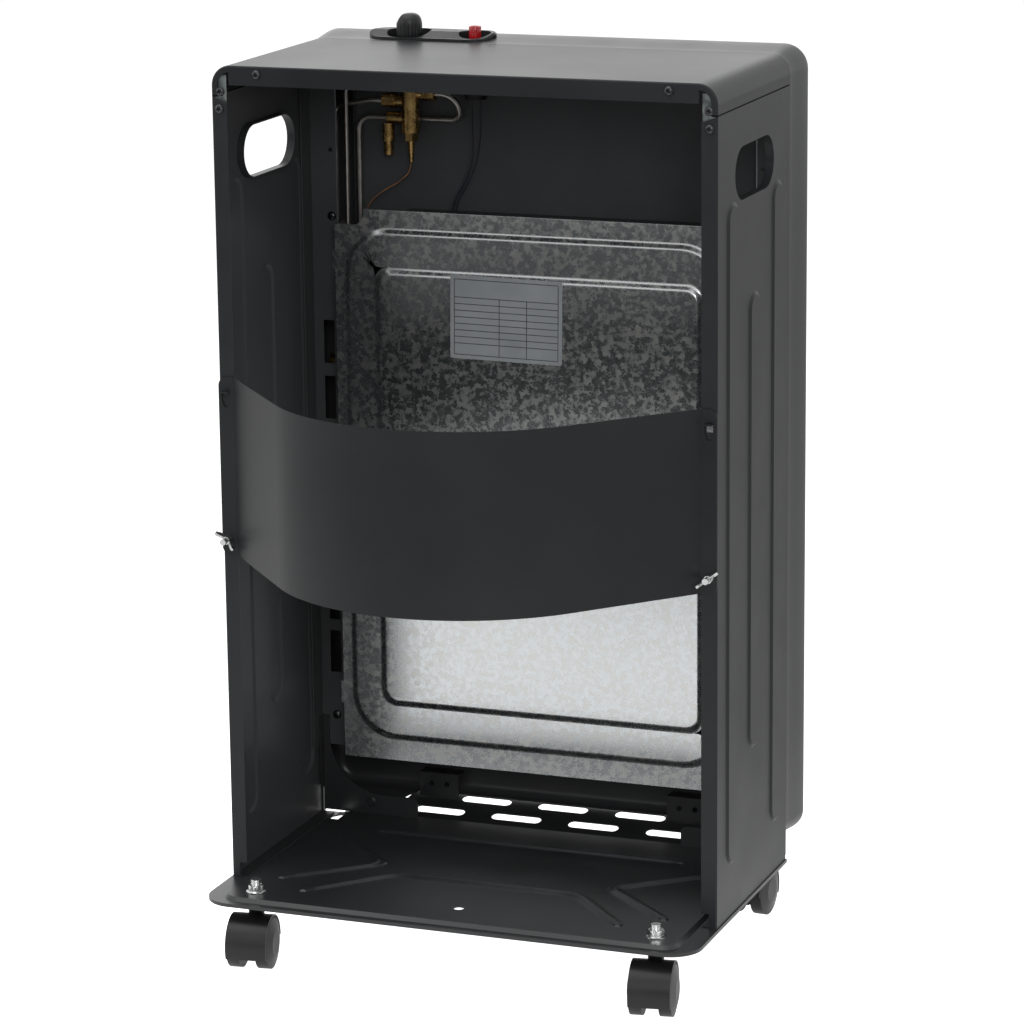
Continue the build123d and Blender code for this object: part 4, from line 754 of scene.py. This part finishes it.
# ---- Control shelf ----------------------------------------------------------------------------------------
# A folded shelf of 1.5 mm galvanised sheet under the top, bored for the valve's spindle and the igniter, and
# hung from the front ring by two legs with feet.
shelf_corners = ((0.040, -0.1715), (0.152, -0.1715), (0.152, -0.1355), (0.040, -0.1355))
shelf_holes = ((0.125, -0.1535, 0.0063), (0.0667, -0.1535, 0.0093))
shelf_level = 0.7070
shelf_gauge = 0.0015
shelf_hole_steps = 40
shelf_folds = (
    (0.0400, 0.0415, -0.1692, -0.1545, 0.7070, 0.7310),
    (0.1505, 0.1520, -0.1692, -0.1545, 0.7070, 0.7310),
    (0.0300, 0.0400, -0.1692, -0.1545, 0.7295, 0.7310),
    (0.1520, 0.1620, -0.1692, -0.1545, 0.7295, 0.7310),
)
bm = bmesh.new()
rings = [[bm.verts.new((x, y, shelf_level)) for x, y in shelf_corners]]
for x, y, radius in shelf_holes:
    around = [math.tau * step / shelf_hole_steps for step in range(shelf_hole_steps)]
    rings.append(
        [bm.verts.new((x + radius * math.cos(a), y + radius * math.sin(a), shelf_level)) for a in around]
    )
edges = [bm.edges.new((a, b)) for ring in rings for a, b in zip(ring, ring[1:] + ring[:1])]
bmesh.ops.triangle_fill(bm, edges=edges, use_beauty=True)
raised = bmesh.ops.extrude_face_region(bm, geom=list(bm.faces))["geom"]
bmesh.ops.translate(bm, verts=corners_in(raised), vec=(0, 0, shelf_gauge))
for left, right, front, rear, low, high in shelf_folds:
    fold = bmesh.ops.create_cube(bm, size=1.0)["verts"]
    bmesh.ops.scale(bm, verts=fold, vec=(right - left, rear - front, high - low))
    bmesh.ops.translate(
        bm, verts=fold, vec=((left + right) / 2, (front + rear) / 2, (low + high) / 2)
    )
made(bm, "valve_shelf", galvanised, "cabinet", "galvanised_sheet", "control_shelf", smooth=30.0)

# ---- Label plate ------------------------------------------------------------------------------------------
# A thin plate with a satin aluminium look, stuck on the shield's inner step a little askew. It is blank but
# for a border and the rules of an empty table.
plate_middle = (0.0220, 0.5072)
plate_size = (0.098, 0.070)
plate_tilt = math.radians(-0.8)
plate_thickness = 0.0005
plate_rounding = 0.002
plate_face = shield_face + 2 * step_height
rule_half = 0.00035
rule_rounding = 0.0001
rule_level = 0.00056
table_half = 0.0455
table_low, table_high = -0.0315, 0.0315
table_head = 0.0165
table_rows = (0.0315, 0.0165, 0.0110, 0.0055, 0.0, -0.0055, -0.0110, -0.0165, -0.0220, -0.0315)
table_columns = (0.0060, -0.0180)
label_silver = finish(
    "label_aluminium", (0.31, 0.33, 0.34), (0.26, 0.28, 0.29), (0.30, 0.38), 0.03, 0.0005, 0.00001
)
rule_ink = finish(
    "label_rules", (0.060, 0.062, 0.066), (0.050, 0.052, 0.055), (0.40, 0.50), 0.02, 0.0005, 0.00001
)


def laid(bm, verts):
    """Turns a plate drawn round the origin to its tilt and lays it at its place on the shield."""
    bmesh.ops.rotate(bm, verts=verts, cent=(0, 0, 0), matrix=Matrix.Rotation(plate_tilt, 3, "Y"))
    bmesh.ops.translate(bm, verts=verts, vec=(plate_middle[0], plate_face, plate_middle[1]))


bm = bmesh.new()
wide, tall = plate_size
edges = rounded_loop(
    bm, -wide / 2, wide / 2, -tall / 2, tall / 2, 0, plate_rounding, plate_rounding, steps=4
)
closed_over(bm, edges)
raised = bmesh.ops.extrude_face_region(bm, geom=list(bm.faces))["geom"]
bmesh.ops.translate(bm, verts=corners_in(raised), vec=(0, plate_thickness, 0))
laid(bm, bm.verts)
made(bm, "label_plate", label_silver, "cabinet", "bright_zinc")

bm = bmesh.new()
rules = [(-table_half, table_half, z - rule_half, z + rule_half) for z in table_rows]
rules += [(x - rule_half, x + rule_half, table_low, table_high) for x in (-table_half, table_half)]
rules += [(x - rule_half, x + rule_half, table_low, table_head) for x in table_columns]
for left, right, low, high in rules:
    closed_over(
        bm, rounded_loop(bm, left, right, low, high, rule_level, rule_rounding, rule_rounding, steps=1)
    )
laid(bm, bm.verts)
made(bm, "label_rules", rule_ink, "cabinet", "black_plastic")

# ---- Rear guard and wing nuts -----------------------------------------------------------------------------
# A broad band of charcoal-coated sheet, bent round the bottle. It hangs on two hooks, and two wing nuts hold
# it on welded studs.
dress(charcoal, "rear_guard")
dress(threaded("zinc_stud_thread", "Y"), "guard_studs")
dress(zinc, "wing_nut_left", "wing_nut_right")

# ---- Burner -----------------------------------------------------------------------------------------------
# A coated steel housing behind three plaques of white ceramic, which are drilled with hundreds of small holes
# and held by bare steel bars. A chromed wire grille keeps hands off, and a pilot and an electrode light them.
bar_steel = finish(
    "burner_steel", (0.36, 0.36, 0.35), (0.24, 0.24, 0.24), (0.34, 0.50), 0.05, 0.0008, 0.000006, metallic=1.0
)
chrome = finish(
    "chromed_wire", (0.78, 0.78, 0.78), (0.70, 0.70, 0.71), (0.08, 0.14), 0.02, 0.0008, 0.000001, metallic=1.0
)
ceramic = finish(
    "plaque_ceramic", (0.80, 0.77, 0.70), (0.70, 0.66, 0.59), (0.75, 0.90), 0.03, 0.0007, 0.00006
)
# The plaques' holes are painted on as black dots: painted shade in place of the dark insides of real holes.
hole_pitch = 0.0035
hole_shift = 1000 * hole_pitch
hole_edge = (0.0007, 0.0009)
hole_painted_shade = (0.02, 0.02, 0.02)
tree = ceramic.node_tree
place = tree.nodes.new("ShaderNodeTexCoord")
shifted = reckoned(tree, "ADD", place.outputs["Object"], (hole_shift, 0.0, 0.0), vector=True)
cell = reckoned(tree, "MODULO", shifted, (hole_pitch, 1.0, hole_pitch), vector=True)
middle = reckoned(tree, "SUBTRACT", cell, (hole_pitch / 2, 0.0, hole_pitch / 2), vector=True)
flat = reckoned(tree, "MULTIPLY", middle, (1.0, 0.0, 1.0), vector=True)
from_hole = reckoned(tree, "LENGTH", flat, vector=True)
blended(tree, mapped(tree, from_hole, *hole_edge), low=hole_painted_shade)
glazed = finish(
    "electrode_ceramic", (0.80, 0.80, 0.78), (0.74, 0.74, 0.71), (0.12, 0.20), 0.01, 0.0006, 0.00002
)
# The housing and the mixer tube take the same grey, lighter than the outer charcoal: painted light for the
# light that fills the inside of the cabinet.
inner_coat = powder_coat("painted_light_inner_charcoal", inner_painted_light, (0.052, 0.054, 0.057), (0.40, 0.48))
dress(inner_coat, "burner_housing", "mixer_tube")
dress(bar_steel, "plaque_bars")
dress(ceramic, "radiant_plaques")
dress(chrome, "front_grille")
dress(glazed, "ignition_electrode")

# ---- Gas train --------------------------------------------------------------------------------------------
# A turned brass valve hangs under the top, with union nuts, a ribbed hose tail and a safety sensor's nut.
# Bent steel tubes lead from it to the burner and the pilot, and a thin copper lead runs down beside them.
brass = finish(
    "turned_brass", (0.56, 0.38, 0.15), (0.36, 0.22, 0.08), (0.22, 0.34), 0.006, 0.0004, 0.000003, metallic=1.0
)
copper = finish(
    "copper_lead", (0.62, 0.34, 0.20), (0.44, 0.22, 0.13), (0.28, 0.42), 0.01, 0.0004, 0.000003, metallic=1.0
)
dress(brass, "valve_body", "gas_inlet", "union_nuts", "thermocouple_nut", "manifold_bar", "pilot_burner")
dress(copper, "thermocouple_lead")
dress(steel, "burner_supply_tube", "second_supply_tube", "pilot_tube", "valve_spindle")

# ---- Controls ---------------------------------------------------------------------------------------------
# A moulded black plate follows the top's flare, with a sunk well for the gas knob and one for the red
# ignition button. Under it hang the button's igniter and its two wires.
moulded = finish(
    "black_moulding", (0.014, 0.0145, 0.0155), (0.010, 0.0105, 0.0115), (0.36, 0.46), 0.02, 0.0005, 0.00001,
    specular=0.3,
)
red = finish(
    "red_moulding", (0.40, 0.012, 0.016), (0.32, 0.008, 0.011), (0.14, 0.20), 0.01, 0.0005, 0.000004
)
sleeve = finish(
    "wire_sleeve", (0.020, 0.022, 0.034), (0.012, 0.013, 0.020), (0.40, 0.50), 0.01, 0.0006, 0.00003
)
dress(moulded, "control_plate", "igniter_body")
dress(sleeve, "igniter_wires")
knob_axis = (0.125, -0.1535)
knob_foot = 0.7300
knob_profile = (
    (0.0060, 0.0004), (0.0100, 0.0), (0.0105, 0.0005), (0.0107, 0.0015), (0.0107, 0.0060), (0.0107, 0.0100),
    (0.0106, 0.0125), (0.0102, 0.0148), (0.0095, 0.0166), (0.0085, 0.0181), (0.0072, 0.0192),
    (0.0057, 0.0199), (0.0038, 0.0203), (0.0019, 0.0205), (0.0, 0.0205),
)
knob_steps = 160
crown_start = 0.012
flute_count = 20
flute_depth = 0.0006
flute_end = 0.0115
flute_root = 0.0099
scoop_radius = 0.0150
scoop_turn = math.radians(-25.0)
scoop_from_axis = 0.0010
scoop_floor = 0.0085
bm = bmesh.new()
turned(bm, knob_profile, steps=knob_steps)
crown = [e for e in bm.edges if all(v.co.z > crown_start for v in e.verts)]
bmesh.ops.subdivide_edges(bm, edges=crown, cuts=1)
for vertex in bm.verts:
    x, y, z = vertex.co
    if math.hypot(x, y) > flute_root and z < flute_end:
        angle = math.atan2(y, x)
        cut = flute_depth * max(0.0, math.cos(angle * flute_count)) ** 2
        vertex.co.x -= cut * math.cos(angle)
        vertex.co.y -= cut * math.sin(angle)
    across = x * math.cos(scoop_turn) + y * math.sin(scoop_turn) - scoop_from_axis - scoop_radius
    if abs(across) < scoop_radius:
        bottom = scoop_floor + scoop_radius - math.sqrt(scoop_radius**2 - across**2)
        if z > bottom > 0.0:
            vertex.co.z = bottom
bmesh.ops.translate(bm, verts=bm.verts, vec=(*knob_axis, knob_foot))
made(bm, "gas_knob", moulded, "control_knob", "black_plastic", "control_knob", smooth=50.0)

button_axis = (0.0667, -0.1535)
button_foot = 0.7137
button_profile = (
    (0.0, 0.0), (0.0051, 0.0), (0.0051, 0.0222), (0.0051, 0.0268), (0.0049, 0.0273), (0.0044, 0.0276),
    (0.0037, 0.0275), (0.0030, 0.0270), (0.0015, 0.0267), (0.0, 0.0266),
)
button_steps = 64
notch_count = 4
notch_depth = 0.0009
notch_sharpness = 6
notch_start = (0.0025, 0.0220)
bm = bmesh.new()
turned(bm, button_profile, steps=button_steps)
for vertex in bm.verts:
    reach = math.hypot(vertex.co.x, vertex.co.y)
    if reach > notch_start[0] and vertex.co.z > notch_start[1]:
        angle = math.atan2(vertex.co.y, vertex.co.x)
        cut = notch_depth * max(0.0, math.cos(angle * notch_count)) ** notch_sharpness
        vertex.co.x -= cut * math.cos(angle)
        vertex.co.y -= cut * math.sin(angle)
bmesh.ops.translate(bm, verts=bm.verts, vec=(*button_axis, button_foot))
made(bm, "red_button", red, "ignition_button", "red_plastic", "ignition_button", smooth=50.0)

# ---- Screws -----------------------------------------------------------------------------------------------
# Pan-head screws of blackened steel with a punched cross, driven through the rear lips and the gussets, and
# two through the face of each upright. Their crosses stand at different angles.
screw_steel = finish(
    "screw_steel", (0.080, 0.083, 0.086), (0.030, 0.031, 0.033), (0.28, 0.42), 0.002, 0.0004, 0.000004,
    metallic=1.0,
)
screw_radius = 0.0038
screw_height = 0.0022
screw_steps = 28
screw_merge = 0.00001
cross_half = 0.00045
cross_reach = 0.0021
cross_depth = 0.0009
cross_turn = 40
screw_profile = (
    (0.0, 1.0), (0.30, 0.98), (0.553, 0.90), (0.78, 0.70), (0.93, 0.42), (1.0, 0.15), (1.0, 0.0),
)
screw_places = (
    (0.2030, 0.0552, 0.7090), (0.2035, 0.0565, 0.6955), (0.1710, 0.0565, 0.7235),
    (0.1885, -0.1305, 0.5810), (0.1930, -0.1305, 0.1460),
)
bm = bmesh.new()
for x, y, z in screw_places:
    for side in (-1, 1):
        before = set(bm.verts)
        profile = [
            bm.verts.new((screw_radius * out, screw_height * high, 0.0)) for out, high in screw_profile
        ]
        strip = [bm.edges.new(pair) for pair in zip(profile, profile[1:])]
        bmesh.ops.spin(
            bm, geom=profile + strip, cent=(0, 0, 0), axis=(0, 1, 0), angle=math.tau, steps=screw_steps,
            use_merge=True,
        )
        head = [v for v in bm.verts if v not in before]
        bmesh.ops.remove_doubles(bm, verts=head, dist=screw_merge)
        for normal in ((1, 0, 0), (0, 0, 1)):
            for way in (-1, 1):
                own = whole(faces_of(v for v in bm.verts if v not in before))
                edge_of_cross = [way * cross_half * n for n in normal]
                bmesh.ops.bisect_plane(bm, geom=own, plane_co=edge_of_cross, plane_no=normal)
        punched = []
        for face in faces_of(v for v in bm.verts if v not in before):
            centre = face.calc_center_median()
            in_arm = min(abs(centre.x), abs(centre.z)) < cross_half
            if in_arm and math.hypot(centre.x, centre.z) < cross_reach:
                punched.append(face)
        sunk = bmesh.ops.extrude_face_region(bm, geom=punched)["geom"]
        bmesh.ops.translate(bm, verts=corners_in(sunk), vec=(0, -cross_depth, 0))
        bmesh.ops.delete(bm, geom=punched, context="FACES_ONLY")
        own = [v for v in bm.verts if v not in before]
        driven = Matrix.Rotation(x * cross_turn * side, 3, "Y")
        bmesh.ops.rotate(bm, verts=own, cent=(0, 0, 0), matrix=driven)
        bmesh.ops.translate(bm, verts=own, vec=(side * x, y, z))
made(bm, "rear_screws", screw_steel, "cabinet", "charcoal_paint", smooth=40.0)

bpy.context.view_layer.update()
